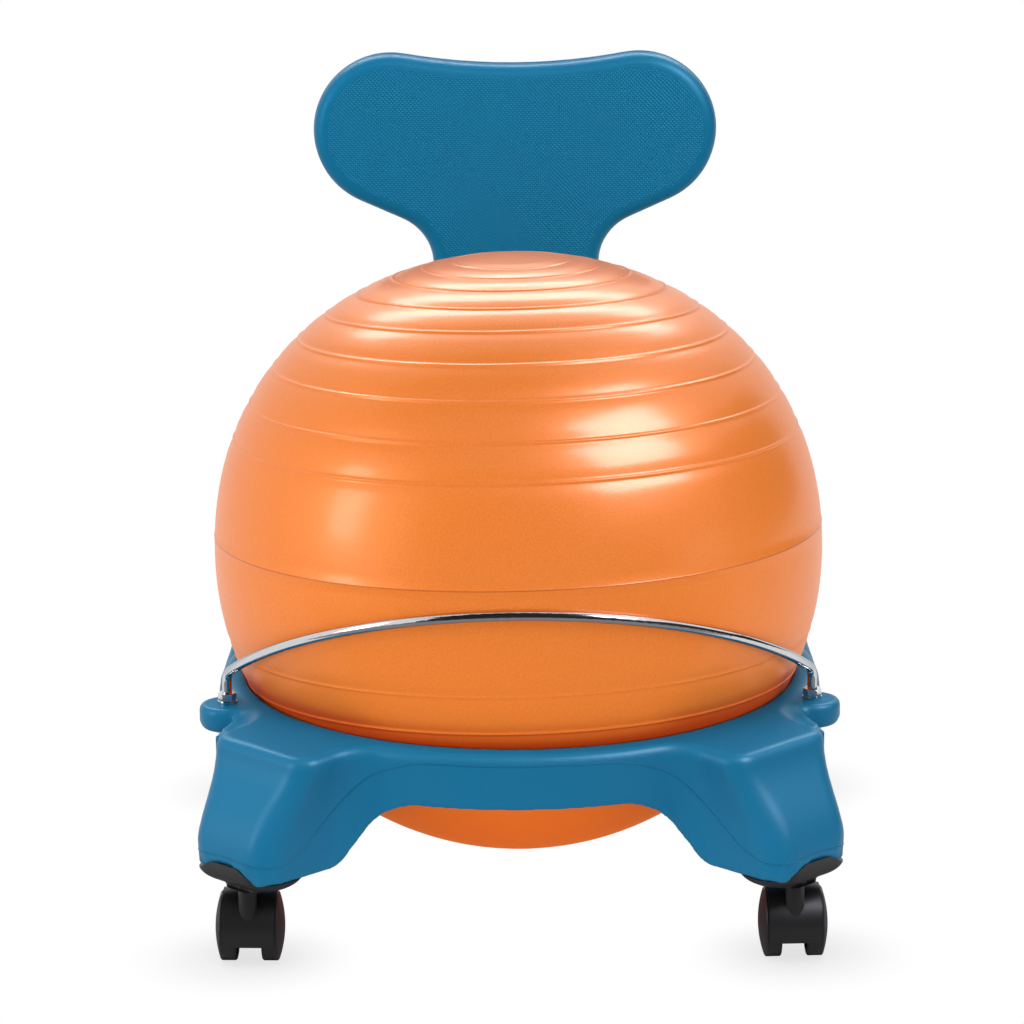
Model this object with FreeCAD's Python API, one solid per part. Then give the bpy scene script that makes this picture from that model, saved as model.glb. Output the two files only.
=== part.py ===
# Child's balance ball chair: an inflated ball held in a blow-moulded ring base on four swivel
# casters, with a front retaining bar and a blow-moulded backrest bolted to the rear of the ring.
# Millimetres, +Z up from the floor, +X to the right seen from the front, the front faces -Y.
# The model is laid out about the vertical axis of the ball seat. At the end it is moved along Y,
# so that the origin is the middle of the whole footprint on the floor.
import FreeCAD, Part
import math
import os

V = FreeCAD.Vector

# Casters, local frame with the stem at the origin and the wheels trailing towards +Y
wheel_radius = 21.5
caster_trail = 15.5
caster_toe = 2.5               # degrees that the trailing wheels point inwards at rest
wheel_gap = 15.7               # between the two treads
tread_edge = 17.8              # outer edge of the tread from the middle
wheel_dome_rise = 3.4          # bulge of the outer face beyond the tread
wheel_bore_clearance = 0.05
wheel_rim_depth = 4.0
wheel_hub_radius = 6.5
wheel_corner = 0.8
axle_radius = 3.0
axle_cover = 4.2               # plastic of the outer face beyond the end of the axle
hood_side_clearance = 0.5
fender_clearance = 0.7         # between the treads and the fender
fender_wall = 1.3
fender_inset = 1.8             # edge of the fender inside the edge of the tread
fender_front_angle = -17.6     # lower edge at the front, from the axle's level
fender_rear_angle = 150.0
hub_radius = 10.0
boss_radius = 5.8
boss_rise = 4.9                # top of the stem boss above the fender
spindle_radius = 3.25
spindle_length = 19.9          # spindle inside the boss
spindle_clearance = 0.05
stem_beyond_ring = 47.5        # caster stem from the outside of the ring, along the diagonal
stem_radius = 4.0
stem_length = 32.5             # stem above the collar
stem_clearance = 0.1
collar_length = 1.6            # collar that shows between the hood and the cap
collar_flange_radius = 4.7
collar_flange_gap = 0.25
ring_groove_rise = 20.5        # middle of the groove above the bottom of the cap
ring_groove_width = 2.4
ring_groove_depth = 0.8
grip_ring_radius_gain = 0.45   # spring ring beyond the stem
grip_ring_gap = 2.0

# Leg caps that carry the casters
cap_depth = 10.0               # bowl of the cap below the rim of the leg
cap_inner_reach = 24.5         # the cap starts this far inwards from the stem
cap_shoulder_drop = 3.7
cap_shoulder_inset = 3.0
cap_turn_drop = 7.0
cap_turn_inset = 9.0
cap_bottom_half_length = 9.5
cap_bottom_half_width = 14.0
cap_bottom_radius = 9.0
cap_wall = 2.5
cap_floor = 3.5
collar_half_length = 18.0
collar_half_width = 27.5
collar_radius = 12.0
collar_rise = 15.5             # collar of the cap above the rim of the leg
cap_gap = 0.3                  # between the cap and the edges of the leg around it
notch_half_width = 11.0        # arched notch in the end wall of the leg
notch_foot_half_width = 27.0
notch_flare = 12.0
notch_rise = 8.5
notch_radius = 14.0
slot_half_width = 8.0
slot_height = 1.6
lug_depth = 7.0
socket_wall = 3.4
socket_length = 40.5           # stem socket above the bottom of the cap

# Ring and legs of the base
leg_height = 78.5              # rim of the leg to the top of the ring
base_top_slope = 0.05          # fall of the top face away from the ball
ring_rim_width = 15.0          # top of the ring beyond the ball
ring_depth = 35.0              # height of the ring between the legs
seat_clearance = 0.3           # between the ball and its seat
well_inset = 17.0              # vertical wall below the seat, inwards from the edge of the seat
base_wall = 3.0
leg_root_distance = 110.0
throat_radius = 25.0           # blend between the side of a leg and the ring
throat_overlap = 0.05          # depth of the blend's edge inside the ring
base_edge_radius = 7.0         # rounding of the top edge
arch_foot_margin = 12.5        # foot of the arch to the inner corner of the leg cap
arch_flare = 32.1              # widening of the arch on each side, from the ring down to the foot
arch_top_radius = 39.0
arch_foot_radius = 15.0

# Ball
ball_radius = 190.0            # nominal 380 mm ball
ball_seat_rise = 79.3          # widest circle of the ball above the top of the ring
ball_top_rise = 182.3          # crown height above the widest circle, flattened by the stretch
ball_fullness = 2.14           # exponent of the upper profile, 2 would be an ellipse
ball_wall = 1.2
ball_tilt = 5.8                # the moulding axis leans back by this angle
valve_bore_radius = 4.5
valve_neck_wall = 2.4
valve_neck_length = 12.0
plug_flange_radius = 8.0
plug_flange_height = 1.0
plug_length = 14.0
plug_clearance = 0.05

# Ears of the ring that carry the ends of the bar
ear_radius = 17.3
ear_drop = 1.4                 # top of the ear below the top of the ring
ear_thickness = 16.0
ear_root = 30.0                # how far the ear reaches into the ring from the bar's end
ear_top_rounding = 3.5
ear_bottom_rounding = 6.0
nut_relief_radius = 7.0        # scallop in the ring's wall that clears the lower nut

# Retaining bar and its fixings, M6
bar_diameter = 6.0
bar_hole_clearance = 0.25
bar_sweep = 67.9               # degrees of the bow round the ball, each side of the front
bar_bend_rise = 21.4           # end of the bow above the ear, where the bar turns down
bar_front_rise = 9.9           # front of the bow above the widest circle of the ball
bar_ball_gap = 0.5             # between the bar and the widest circle of the ball
bar_bend_radius = 9.0
bar_tail = 4.0                 # thread left below the lower nut
small_washer_radius = 6.0
small_washer_thickness = 1.6
small_nut_flats = 10.0
small_nut_height = 5.0

# Backrest, outline in its own plane
back_lean = 3.0                # degrees from upright
back_thickness = 26.0
back_wall = 3.0
back_edge_radius = 8.5
spine_half_width = 53.5
spine_drop = 1.0               # foot of the spine below the ring
spine_corner_radius = 10.0
neck_radius = 34.0
lobe_radius = 50.0
lobe_offset = 80.5             # lobe centre from the middle
lobe_rise = 300.8              # lobe centre above the top of the ring
lobe_underside_angle = 24.0
crown_dip = 7.2                # top edge at the middle below the tops of the lobes

# Rear mounting pad of the base and the backrest bolts, M8
pad_half_width = 60.0
pad_depth = 34.0
pad_drop = 6.0                 # top of the pad below the top of the ring
bolt_spacing = 60.0
bolt_drop = 20.0               # bolts below the top of the ring
bolt_diameter = 8.0
bolt_hole_clearance = 0.25
bolt_head_radius = 7.0
bolt_head_height = 5.0
bolt_key_flats = 5.0
bolt_key_depth = 3.0
bolt_recess_radius = 11.0
bolt_recess_depth = 11.0
large_washer_radius = 9.0
large_washer_thickness = 1.6
insert_radius = 6.0
insert_length = 16.0
insert_flange_radius = 9.0
insert_flange_thickness = 1.6
boss_wall = 3.0

cut_margin = 40.0              # how far cutting bodies reach past what they cut

# Plan sizes that follow from the ball outwards
seat_edge_radius = math.sqrt((ball_radius + seat_clearance) ** 2 - ball_seat_rise ** 2)
ring_radius = seat_edge_radius + ring_rim_width
well_radius = seat_edge_radius - well_inset
stem_distance = ring_radius + stem_beyond_ring
cap_inner_distance = stem_distance - cap_inner_reach

# Caster sizes that follow
wheel_half_width = tread_edge + wheel_dome_rise
axle_half_length = wheel_half_width - axle_cover
fender_half_width = tread_edge - fender_inset
fender_inner_radius = wheel_radius + fender_clearance
grip_ring_outer_radius = stem_radius + grip_ring_radius_gain

# Heights above the floor, from the wheels up
hood_top_height = wheel_radius + fender_inner_radius + fender_wall + boss_rise
spindle_bottom_height = hood_top_height - spindle_length
cap_bottom_height = hood_top_height + collar_length
stem_top_height = cap_bottom_height + stem_length
ring_groove_height = cap_bottom_height + ring_groove_rise
socket_top_height = cap_bottom_height + socket_length
foot_height = cap_bottom_height + cap_depth
collar_top_height = foot_height + collar_rise
notch_height = foot_height + notch_rise
base_top_height = foot_height + leg_height
ring_bottom_height = base_top_height - ring_depth
ball_centre_height = base_top_height + ball_seat_rise
ear_top_height = base_top_height - ear_drop
bar_bend_height = ear_top_height + bar_bend_rise
bar_front_height = ball_centre_height + bar_front_rise
pad_top_height = base_top_height - pad_drop
bolt_height = base_top_height - bolt_drop
spine_bottom_height = ring_bottom_height - spine_drop
lobe_height = base_top_height + lobe_rise
crown_dip_height = lobe_height + lobe_radius - crown_dip

# Leg sections from the top down: height, reach along the diagonal, half width, corner radius
leg_sections = [
    (base_top_height, stem_distance - 7.5, 44.5, 15.0),
    (base_top_height - 26.0, stem_distance + 0.5, 39.0, 15.0),
    (base_top_height - 49.0, stem_distance + 14.5, 35.6, 16.5),
    (foot_height + 12.5, stem_distance + 19.0, 35.0, 18.0),
    (foot_height, stem_distance + 18.0, 34.5, 18.0),
]
foot_half_width = leg_sections[-1][2]
arch_foot_half_width = (cap_inner_distance - foot_half_width) / math.sqrt(2) - arch_foot_margin
arch_half_width = arch_foot_half_width - arch_flare

# Bowl of the cap below its rim: height, inset from the rim's outline
cap_levels = [
    (foot_height, 0.0),
    (foot_height - cap_shoulder_drop, cap_shoulder_inset),
    (foot_height - cap_turn_drop, cap_turn_inset),
]

UP = V(0, 0, 1)
RIGHT = V(1, 0, 0)
BACK = V(0, 1, 0)


def flat(height):
    """Place plan points at a height."""
    return lambda point: V(point.x, point.y, height)


def front_plane(depth):
    """Place points drawn as (x, z) on an upright plane that faces the front."""
    return lambda point: V(point.x, depth, point.y)


def side_plane(offset):
    """Place points drawn as (y, z) on an upright plane that faces the side."""
    return lambda point: V(offset, point.x, point.y)


def rounded_wire(corners, radii, place):
    """Closed outline through the corners, each rounded to its own radius."""
    rounded = []
    for index, corner in enumerate(corners):
        before = (corners[index - 1] - corner).normalize()
        after = (corners[(index + 1) % len(corners)] - corner).normalize()
        half_angle = before.getAngle(after) / 2
        reach = radii[index] / math.tan(half_angle)
        bisector = (before + after).normalize()
        middle = corner + bisector * (radii[index] / math.sin(half_angle) - radii[index])
        rounded.append((corner + before * reach, middle, corner + after * reach))
    edges = []
    for index, (start, middle, end) in enumerate(rounded):
        following = rounded[(index + 1) % len(rounded)][0]
        edges.append(Part.Arc(place(start), place(middle), place(end)).toShape())
        if (following - end).Length > 1e-6:
            edges.append(Part.makeLine(place(end), place(following)))
    return Part.Wire(edges)


def rounded_rectangle(low_x, high_x, half_width, radius, place):
    """Rounded rectangle about the X axis of the drawing."""
    corners = [V(low_x, -half_width), V(high_x, -half_width), V(high_x, half_width), V(low_x, half_width)]
    return rounded_wire(corners, [radius] * 4, place)


def prism(wire, direction):
    return Part.Face(wire).extrude(direction)


def cylinder(radius, start, end):
    """Cylinder between two points."""
    return Part.makeCylinder(radius, (end - start).Length, start, end - start)


def tube_profile(points, axis_start, axis_direction):
    """Turn a closed outline of straight lines about an axis."""
    wire = Part.makePolygon(points + [points[0]])
    return Part.Face(wire).revolve(axis_start, axis_direction, 360)


def moved(shape, matrix):
    return shape.transformed(matrix, True)


def rotation(axis, degrees, centre=V(0, 0, 0)):
    """Matrix that turns about an axis through a point."""
    turn = FreeCAD.Placement(V(0, 0, 0), FreeCAD.Rotation(axis, degrees), centre)
    return turn.toMatrix()


def hexagon(flats, start, direction, height):
    """Six-sided prism that stands on a point, along a direction."""
    corner = flats / math.sqrt(3)
    points = []
    for index in range(7):
        angle = math.radians(60 * index)
        points.append(V(corner * math.cos(angle), corner * math.sin(angle), 0))
    body = prism(Part.makePolygon(points), V(0, 0, height))
    body.Placement = FreeCAD.Placement(start, FreeCAD.Rotation(UP, direction))
    return body


# The backrest, its pad and bolts are laid out upright against the rear of the ring and leaned
# back together about the lower edge of the ring's rear face.
lean_back = rotation(RIGHT, -back_lean, V(0, ring_radius, ring_bottom_height))
ball_centre = V(0, 0, ball_centre_height)


# Base

def leg_section(height, reach, half_width, corner_radius, inset):
    """Plan outline of a leg that points along +X, with the flare that blends it into the ring."""
    width = half_width - inset
    ring = ring_radius - inset - throat_overlap
    straight = reach - inset - corner_radius
    room = (straight ** 2 - ring ** 2 + width ** 2) / (2 * (ring - width))
    blend = min(throat_radius + inset, room)
    turn = math.asin((width + blend) / (ring + blend))
    touch = V(ring * math.cos(turn), -ring * math.sin(turn))
    tangent = V(math.sin(turn), math.cos(turn))
    blend_corner = touch + tangent * ((-width - touch.y) / tangent.y)
    start = touch - tangent
    right_side = [
        (V(leg_root_distance, start.y), 4.0),
        (start, 0.5),
        (blend_corner, blend),
        (V(reach - inset, -width), corner_radius - inset),
    ]
    left_side = [(V(corner.x, -corner.y), radius) for corner, radius in reversed(right_side)]
    corners = [corner for corner, radius in right_side + left_side]
    radii = [radius for corner, radius in right_side + left_side]
    return rounded_wire(corners, radii, flat(height))


def leg_loft(inset):
    """Leg along +X, from its foot to the top of the base."""
    wires = []
    for height, reach, half_width, corner_radius in leg_sections:
        wires.append(leg_section(height, reach, half_width, corner_radius, inset))
    body = Part.makeLoft(wires, True, False)
    if inset:
        low = foot_height + inset
        high = base_top_height - inset
        keep = Part.makeBox(600, 600, high - low, V(-300, -300, low))
        body = body.common(keep)
    return body


def arch_cutter(inset):
    """Body that opens the space between two legs, from the front right through to the rear."""
    slope_z = ring_bottom_height - foot_height
    shift = inset / math.cos(math.atan2(arch_flare, slope_z))
    top = ring_bottom_height + inset
    bottom = foot_height - 0.5
    top_x = arch_half_width - arch_flare / slope_z * inset + shift
    foot_x = arch_foot_half_width + shift
    wide = ring_radius
    low = foot_height - cut_margin
    corners = [
        V(-wide, low), V(wide, low), V(wide, bottom), V(foot_x, bottom),
        V(top_x, top), V(-top_x, top), V(-foot_x, bottom), V(-wide, bottom),
    ]
    radii = [1.0, 1.0, 0.1, arch_foot_radius, arch_top_radius, arch_top_radius, arch_foot_radius, 0.1]
    reach = ring_radius + cut_margin
    wire = rounded_wire(corners, radii, front_plane(-reach))
    return prism(wire, V(0, 2 * reach, 0))


def roof_cutter(inset):
    """Cone that gives the top of the base its fall away from the ball."""
    inner = well_radius
    outer = ring_radius + 3 * cut_margin
    height = base_top_height - inset
    points = [
        V(inner, 0, height + base_top_slope * (seat_edge_radius - inner)),
        V(outer, 0, height - base_top_slope * (outer - seat_edge_radius)),
        V(outer, 0, height + cut_margin),
        V(inner, 0, height + cut_margin),
    ]
    return tube_profile(points, V(0, 0, 0), UP)


def ear(side):
    """Tab at the side of the ring that takes one end of the bar."""
    foot = bar_foot()
    bottom = ear_top_height - ear_thickness
    tip = foot.x + ear_radius
    outline = rounded_wire(
        [V(foot.x - ear_root, foot.y - ear_radius), V(tip, foot.y - ear_radius),
         V(tip, foot.y + ear_radius), V(foot.x - ear_root, foot.y + ear_radius)],
        [1.0, ear_radius - 0.01, ear_radius - 0.01, 1.0], flat(bottom))
    tab = prism(outline, UP * ear_thickness)
    for height, rounding in ((ear_top_height, ear_top_rounding), (bottom, ear_bottom_rounding)):
        rim = []
        for edge in tab.Edges:
            box = edge.BoundBox
            level = abs(box.ZMin - height) < 0.01 and box.ZLength < 0.01
            if level and box.XMax > foot.x - ear_root + 1.5:
                rim.append(edge)
        tab = tab.makeFillet(rounding, rim)
    return tab if side > 0 else tab.mirror(V(0, 0, 0), RIGHT)


def nut_relief(side):
    """Scallop below the ear, so that the lower nut clears the wall of the ring."""
    foot = bar_foot()
    low = V(side * foot.x, foot.y, ring_bottom_height - 1)
    return cylinder(nut_relief_radius, low, V(low.x, low.y, ear_top_height - ear_thickness))


def mounting_pad(inset):
    """Block that gives the ring a flat rear face for the backrest."""
    pad = Part.makeBox(
        2 * (pad_half_width - inset), pad_depth - 2 * inset, pad_top_height - ring_bottom_height - 2 * inset,
        V(-pad_half_width + inset, ring_radius - pad_depth + inset, ring_bottom_height + inset),
    )
    return moved(pad, lean_back)


def base_body(inset):
    """The base as a solid block, or its hollow when the inset is the wall."""
    low = foot_height + inset
    high = base_top_height - inset
    ring = Part.makeCylinder(ring_radius - inset, high - low, V(0, 0, low))
    leg = leg_loft(inset)
    legs = [moved(leg, rotation(UP, 45 + 90 * index)) for index in range(4)]
    body = ring.fuse(legs)
    body = body.cut(roof_cutter(inset))
    arch = arch_cutter(inset)
    body = body.cut(arch)
    body = body.cut(moved(arch, rotation(UP, 90)))
    return body


def seat_cutter(inset):
    """The ball's seat and the well below it."""
    seat = Part.makeSphere(ball_radius + seat_clearance + inset, ball_centre)
    well_low = foot_height - cut_margin
    well_high = ball_centre_height - math.sqrt(ball_radius ** 2 - well_radius ** 2)
    well = Part.makeCylinder(well_radius + inset, well_high - well_low, V(0, 0, well_low))
    return seat.fuse(well)


def rounded_top(body):
    """Round the outer top edge of the base."""
    edges = []
    for edge in body.Edges:
        box = edge.BoundBox
        middle = edge.valueAt((edge.FirstParameter + edge.LastParameter) / 2)
        on_top = box.ZMin > base_top_height - 9 and box.ZMax < base_top_height
        outside = math.hypot(middle.x, middle.y) > ring_radius - 2
        if on_top and outside and box.ZLength < 6:
            edges.append(edge)
    return body.makeFillet(base_edge_radius, edges)


def bolt_centres():
    """Where the backrest bolts cross the pad's face, before it is leaned back."""
    return [V(side * bolt_spacing / 2, ring_radius, bolt_height) for side in (-1, 1)]


def make_base():
    outer = base_body(0)
    outer = rounded_top(outer)
    outer = outer.cut([nut_relief(-1), nut_relief(1)])
    outer = outer.fuse([mounting_pad(0), ear(-1), ear(1)])
    outer = outer.cut(seat_cutter(0))
    hollow = base_body(base_wall)
    hollow = hollow.fuse(mounting_pad(base_wall))
    keep_out = [seat_cutter(base_wall)]
    insert_radius_outside = insert_radius + boss_wall
    for centre in bolt_centres():
        boss = cylinder(insert_radius_outside, centre - BACK * pad_depth, centre + BACK * base_wall)
        keep_out.append(moved(boss, lean_back))
    hollow = hollow.cut(keep_out)
    body = outer.cut(hollow)
    holes = []
    for side in (-1, 1):
        foot = V(side * bar_foot().x, bar_foot().y, ear_top_height - ear_thickness - 1)
        holes.append(Part.makeCylinder(bar_diameter / 2 + bar_hole_clearance, ear_thickness + 2, foot))
    for centre in bolt_centres():
        bore = cylinder(insert_radius, centre + BACK, centre - BACK * insert_length)
        seat = cylinder(insert_flange_radius, centre + BACK, centre - BACK * insert_flange_thickness)
        holes.append(moved(bore.fuse(seat), lean_back))
    for angle in leg_angles.values():
        turn = rotation(UP, angle)
        holes.append(moved(cap_opening(), turn))
        holes.append(moved(notch_cutter(0), turn))
        holes.append(moved(snap_slot(), turn))
    return body.cut(holes)


# Leg caps, laid out on a leg that points along +X

leg_angles = {"front_left": 225, "front_right": 315, "rear_left": 135, "rear_right": 45}


def cap_centre():
    reach = leg_sections[-1][1]
    return (cap_inner_distance + reach) / 2


def cap_outlines(inset):
    """Outlines of the bowl from its rim down to its small flat bottom round the stem."""
    rim_height, reach, half_width, radius = leg_sections[-1]
    outlines = []
    for height, drawn_in in cap_levels:
        step = inset + drawn_in
        outlines.append(rounded_rectangle(
            cap_inner_distance + step, reach - step, half_width - step, radius - 0.6 * step, flat(height)))
    outlines.append(rounded_rectangle(
        stem_distance - cap_bottom_half_length + inset, stem_distance + cap_bottom_half_length - inset,
        cap_bottom_half_width - inset, cap_bottom_radius - inset, flat(cap_bottom_height)))
    return outlines


def collar_outline(inset, height):
    return rounded_rectangle(
        cap_centre() - collar_half_length + inset, cap_centre() + collar_half_length - inset,
        collar_half_width - inset, collar_radius - inset, flat(height))


def cap_opening():
    """Hole in the underside of the leg that takes the collar of the cap."""
    return prism(collar_outline(-cap_gap, foot_height - 1), V(0, 0, base_wall + 2))


def notch_cutter(gap):
    """Arched notch in the end wall of the leg, or the lug that fills it when there is a gap."""
    reach = leg_sections[-1][1]
    low = foot_height - 4
    corners = [
        V(-notch_foot_half_width - notch_flare + gap, low), V(notch_foot_half_width + notch_flare - gap, low),
        V(notch_foot_half_width - gap, foot_height), V(notch_half_width - gap, notch_height - gap),
        V(-notch_half_width + gap, notch_height - gap), V(-notch_foot_half_width + gap, foot_height),
    ]
    radii = [1.0, 1.0, notch_radius, notch_radius / 2, notch_radius / 2, notch_radius]
    wire = rounded_wire(corners, radii, side_plane(reach - lug_depth))
    return prism(wire, V(lug_depth + cut_margin, 0, 0))


def snap_slot():
    """Narrow slot above the notch where the cap's snap finger shows."""
    reach = leg_sections[-1][1]
    return Part.makeBox(
        lug_depth + cut_margin, 2 * slot_half_width, slot_height + 2,
        V(reach - lug_depth, -slot_half_width, notch_height - 2))


def make_cap():
    """Shallow bowl with a collar that enters the leg, an end lug and the ribbed stem socket."""
    shoulder = cap_levels[1][0]
    inset_below = cap_levels[2][1] + cap_wall
    reach, half_width, radius = leg_sections[-1][1:]
    bowl = Part.makeLoft(cap_outlines(0), True, False)
    collar = prism(collar_outline(0, foot_height - 1), V(0, 0, collar_top_height - foot_height + 1))
    lug = leg_loft(0).common(notch_cutter(cap_gap))
    upper = prism(collar_outline(cap_wall, shoulder), V(0, 0, collar_top_height - shoulder + 1))
    low = cap_bottom_height + cap_floor
    floor_outline = rounded_rectangle(
        cap_inner_distance + inset_below, reach - inset_below, half_width - inset_below,
        radius - inset_below * 0.8, flat(low))
    lower = prism(floor_outline, V(0, 0, shoulder - low + 1))
    foot = V(stem_distance, 0, cap_bottom_height)
    socket = cylinder(stem_radius + socket_wall, foot, V(stem_distance, 0, socket_top_height))
    ribs = []
    for angle in (0, 90):
        rib = Part.makeBox(
            4 * collar_half_width, cap_wall, collar_top_height - cap_bottom_height,
            V(-2 * collar_half_width, -cap_wall / 2, 0))
        rib = moved(rib, rotation(UP, angle))
        rib.translate(foot)
        ribs.append(rib)
    hollow = upper.fuse(lower).cut([socket] + ribs)
    cap = bowl.fuse([collar, lug]).cut(hollow).fuse(socket)
    low_end = V(stem_distance, 0, cap_bottom_height - 1)
    high_end = V(stem_distance, 0, socket_top_height + 1)
    bore = cylinder(stem_radius + stem_clearance, low_end, high_end)
    groove_low = V(stem_distance, 0, ring_groove_height - ring_groove_width)
    groove_high = V(stem_distance, 0, ring_groove_height + ring_groove_width)
    groove = cylinder(grip_ring_outer_radius + stem_clearance, groove_low, groove_high)
    return cap.cut([bore, groove]).removeSplitter()


# Casters

def at_axle(height_offset=0.0):
    return V(0, caster_trail, wheel_radius + height_offset)


def make_stem():
    """Steel pin with the collar that shows between the cap and the hood."""
    flange_low = hood_top_height + collar_flange_gap
    groove_low = ring_groove_height - ring_groove_width / 2
    groove_high = ring_groove_height + ring_groove_width / 2
    groove_radius = stem_radius - ring_groove_depth
    tip = stem_radius - ring_groove_depth
    points = [
        V(0, 0, spindle_bottom_height), V(spindle_radius, 0, spindle_bottom_height),
        V(spindle_radius, 0, flange_low), V(collar_flange_radius, 0, flange_low),
        V(collar_flange_radius, 0, cap_bottom_height), V(stem_radius, 0, cap_bottom_height),
        V(stem_radius, 0, groove_low), V(groove_radius, 0, groove_low),
        V(groove_radius, 0, groove_high), V(stem_radius, 0, groove_high),
        V(stem_radius, 0, stem_top_height - ring_groove_depth), V(tip, 0, stem_top_height),
        V(0, 0, stem_top_height),
    ]
    return tube_profile(points, V(0, 0, 0), UP)


def make_grip_ring():
    """Split spring ring in the groove of the stem."""
    low = ring_groove_height - ring_groove_width / 2 + stem_clearance
    height = ring_groove_width - 2 * stem_clearance
    inner = stem_radius - ring_groove_depth + stem_clearance
    ring = Part.makeCylinder(grip_ring_outer_radius, height, V(0, 0, low))
    ring = ring.cut(Part.makeCylinder(inner, height, V(0, 0, low)))
    gap = Part.makeBox(grip_ring_gap, 2 * stem_radius, height, V(-grip_ring_gap / 2, 0, low))
    return ring.cut(gap)


def sector(radius, half_width):
    """Part of a disc about the axle that the hood covers."""
    axle = at_axle()
    points = [axle]
    steps = 8
    for index in range(steps + 1):
        share = index / steps
        angle = math.radians(fender_front_angle + (fender_rear_angle - fender_front_angle) * share)
        points.append(axle + V(0, -2 * radius * math.cos(angle), 2 * radius * math.sin(angle)))
    face = Part.Face(Part.makePolygon(points + [axle]))
    face.translate(V(-half_width, 0, 0))
    return face.extrude(V(2 * half_width, 0, 0))


def axle_cylinder(radius, half_width):
    """Cylinder about the axle, centred between the wheels."""
    return Part.makeCylinder(radius, 2 * half_width, at_axle() - RIGHT * half_width, RIGHT)


def make_hood():
    """Plastic fork of the caster: web between the wheels, fender over the treads and stem boss."""
    web_half_width = wheel_gap / 2 - hood_side_clearance
    outer = axle_cylinder(fender_inner_radius + fender_wall, fender_half_width)
    inner = axle_cylinder(fender_inner_radius, fender_half_width)
    fender = outer.cut(inner).common(sector(fender_inner_radius, fender_half_width))
    web = axle_cylinder(fender_inner_radius + fender_wall / 2, web_half_width)
    web = web.common(sector(fender_inner_radius, fender_half_width))
    hub = axle_cylinder(hub_radius, web_half_width)
    boss = cylinder(boss_radius, V(0, 0, wheel_radius), V(0, 0, hood_top_height))
    hood = fender.fuse([web, hub, boss])
    bore = cylinder(
        spindle_radius + spindle_clearance,
        V(0, 0, spindle_bottom_height - 1), V(0, 0, hood_top_height + 1))
    return hood.cut([bore, axle_cylinder(axle_radius, fender_half_width)]).removeSplitter()


def make_axle():
    return axle_cylinder(axle_radius, axle_half_length)


def wheel_point(x, radius):
    return V(x, caster_trail, wheel_radius + radius)


def make_wheel():
    """One wheel of the pair, on the +X side, with a domed outer face."""
    inner = wheel_gap / 2
    bore = axle_radius + wheel_bore_clearance
    web_x = tread_edge - wheel_rim_depth
    rim = wheel_radius - wheel_rim_depth
    outer_edge = wheel_radius - wheel_corner
    end = axle_half_length + wheel_bore_clearance
    line_points = [
        (wheel_half_width, 0), (end, 0), (end, bore), (inner, bore), (inner, wheel_hub_radius),
        (web_x, wheel_hub_radius), (web_x, rim), (inner, rim), (inner, outer_edge),
        (inner + wheel_corner, wheel_radius), (tread_edge - wheel_corner, wheel_radius),
        (tread_edge, outer_edge),
    ]
    edges = []
    for first, second in zip(line_points, line_points[1:]):
        edges.append(Part.makeLine(wheel_point(*first), wheel_point(*second)))
    dome_rise = wheel_half_width - tread_edge
    dome_radius = (dome_rise ** 2 + outer_edge ** 2) / (2 * dome_rise)
    mid_radius = outer_edge / 2
    mid_x = wheel_half_width - dome_radius + math.sqrt(dome_radius ** 2 - mid_radius ** 2)
    dome = Part.Arc(
        wheel_point(tread_edge, outer_edge), wheel_point(mid_x, mid_radius), wheel_point(wheel_half_width, 0))
    edges.append(dome.toShape())
    return Part.Face(Part.Wire(edges)).revolve(at_axle(), RIGHT, 360)


# Ball and valve plug

def ball_profile(offset):
    """Right half of the ball's outline, grown or shrunk by an offset."""
    bottom = ball_centre - UP * (ball_radius + offset)
    side = ball_centre + RIGHT * (ball_radius + offset)
    low_mid = ball_centre + V(1, 0, -1).normalize() * (ball_radius + offset)
    lower = Part.Arc(bottom, low_mid, side).toShape()
    points = []
    steps = 8
    power = 2 / ball_fullness
    for index in range(steps + 1):
        angle = math.pi / 2 * index / steps
        x = (ball_radius + offset) * max(math.cos(angle), 0) ** power
        z = (ball_top_rise + offset) * math.sin(angle) ** power
        points.append(ball_centre + V(x if index < steps else 0, 0, z))
    crown = Part.BSplineCurve()
    crown.interpolate(points, False, 0, UP * 300, RIGHT * -300)
    axis = Part.makeLine(points[-1], bottom)
    return Part.Wire([lower, crown.toShape(), axis])


def ball_solid(offset):
    return Part.Face(ball_profile(offset)).revolve(V(0, 0, 0), UP, 360)


valve_out = V(0, -math.sin(math.radians(ball_tilt)), -math.cos(math.radians(ball_tilt)))


def seat_level():
    """Distance from the ball's centre to the flat seat of the plug's flange."""
    return math.sqrt(ball_radius ** 2 - plug_flange_radius ** 2) - plug_clearance


def make_ball():
    """Hollow ball with the neck that holds the valve plug at its lower pole."""
    seat = ball_centre + valve_out * seat_level()
    neck_end = seat - valve_out * valve_neck_length
    ball = ball_solid(0).cut(ball_solid(-ball_wall))
    neck_radius_outside = valve_bore_radius + valve_neck_wall
    neck = cylinder(neck_radius_outside, neck_end, seat)
    pad = cylinder(plug_flange_radius + 1, seat - valve_out * ball_wall, seat)
    bore = cylinder(valve_bore_radius, neck_end - valve_out, seat + valve_out * 5)
    recess = cylinder(plug_flange_radius + plug_clearance, seat, seat + valve_out * 5)
    return ball.fuse([neck, pad]).cut([bore, recess]).removeSplitter()


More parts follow.
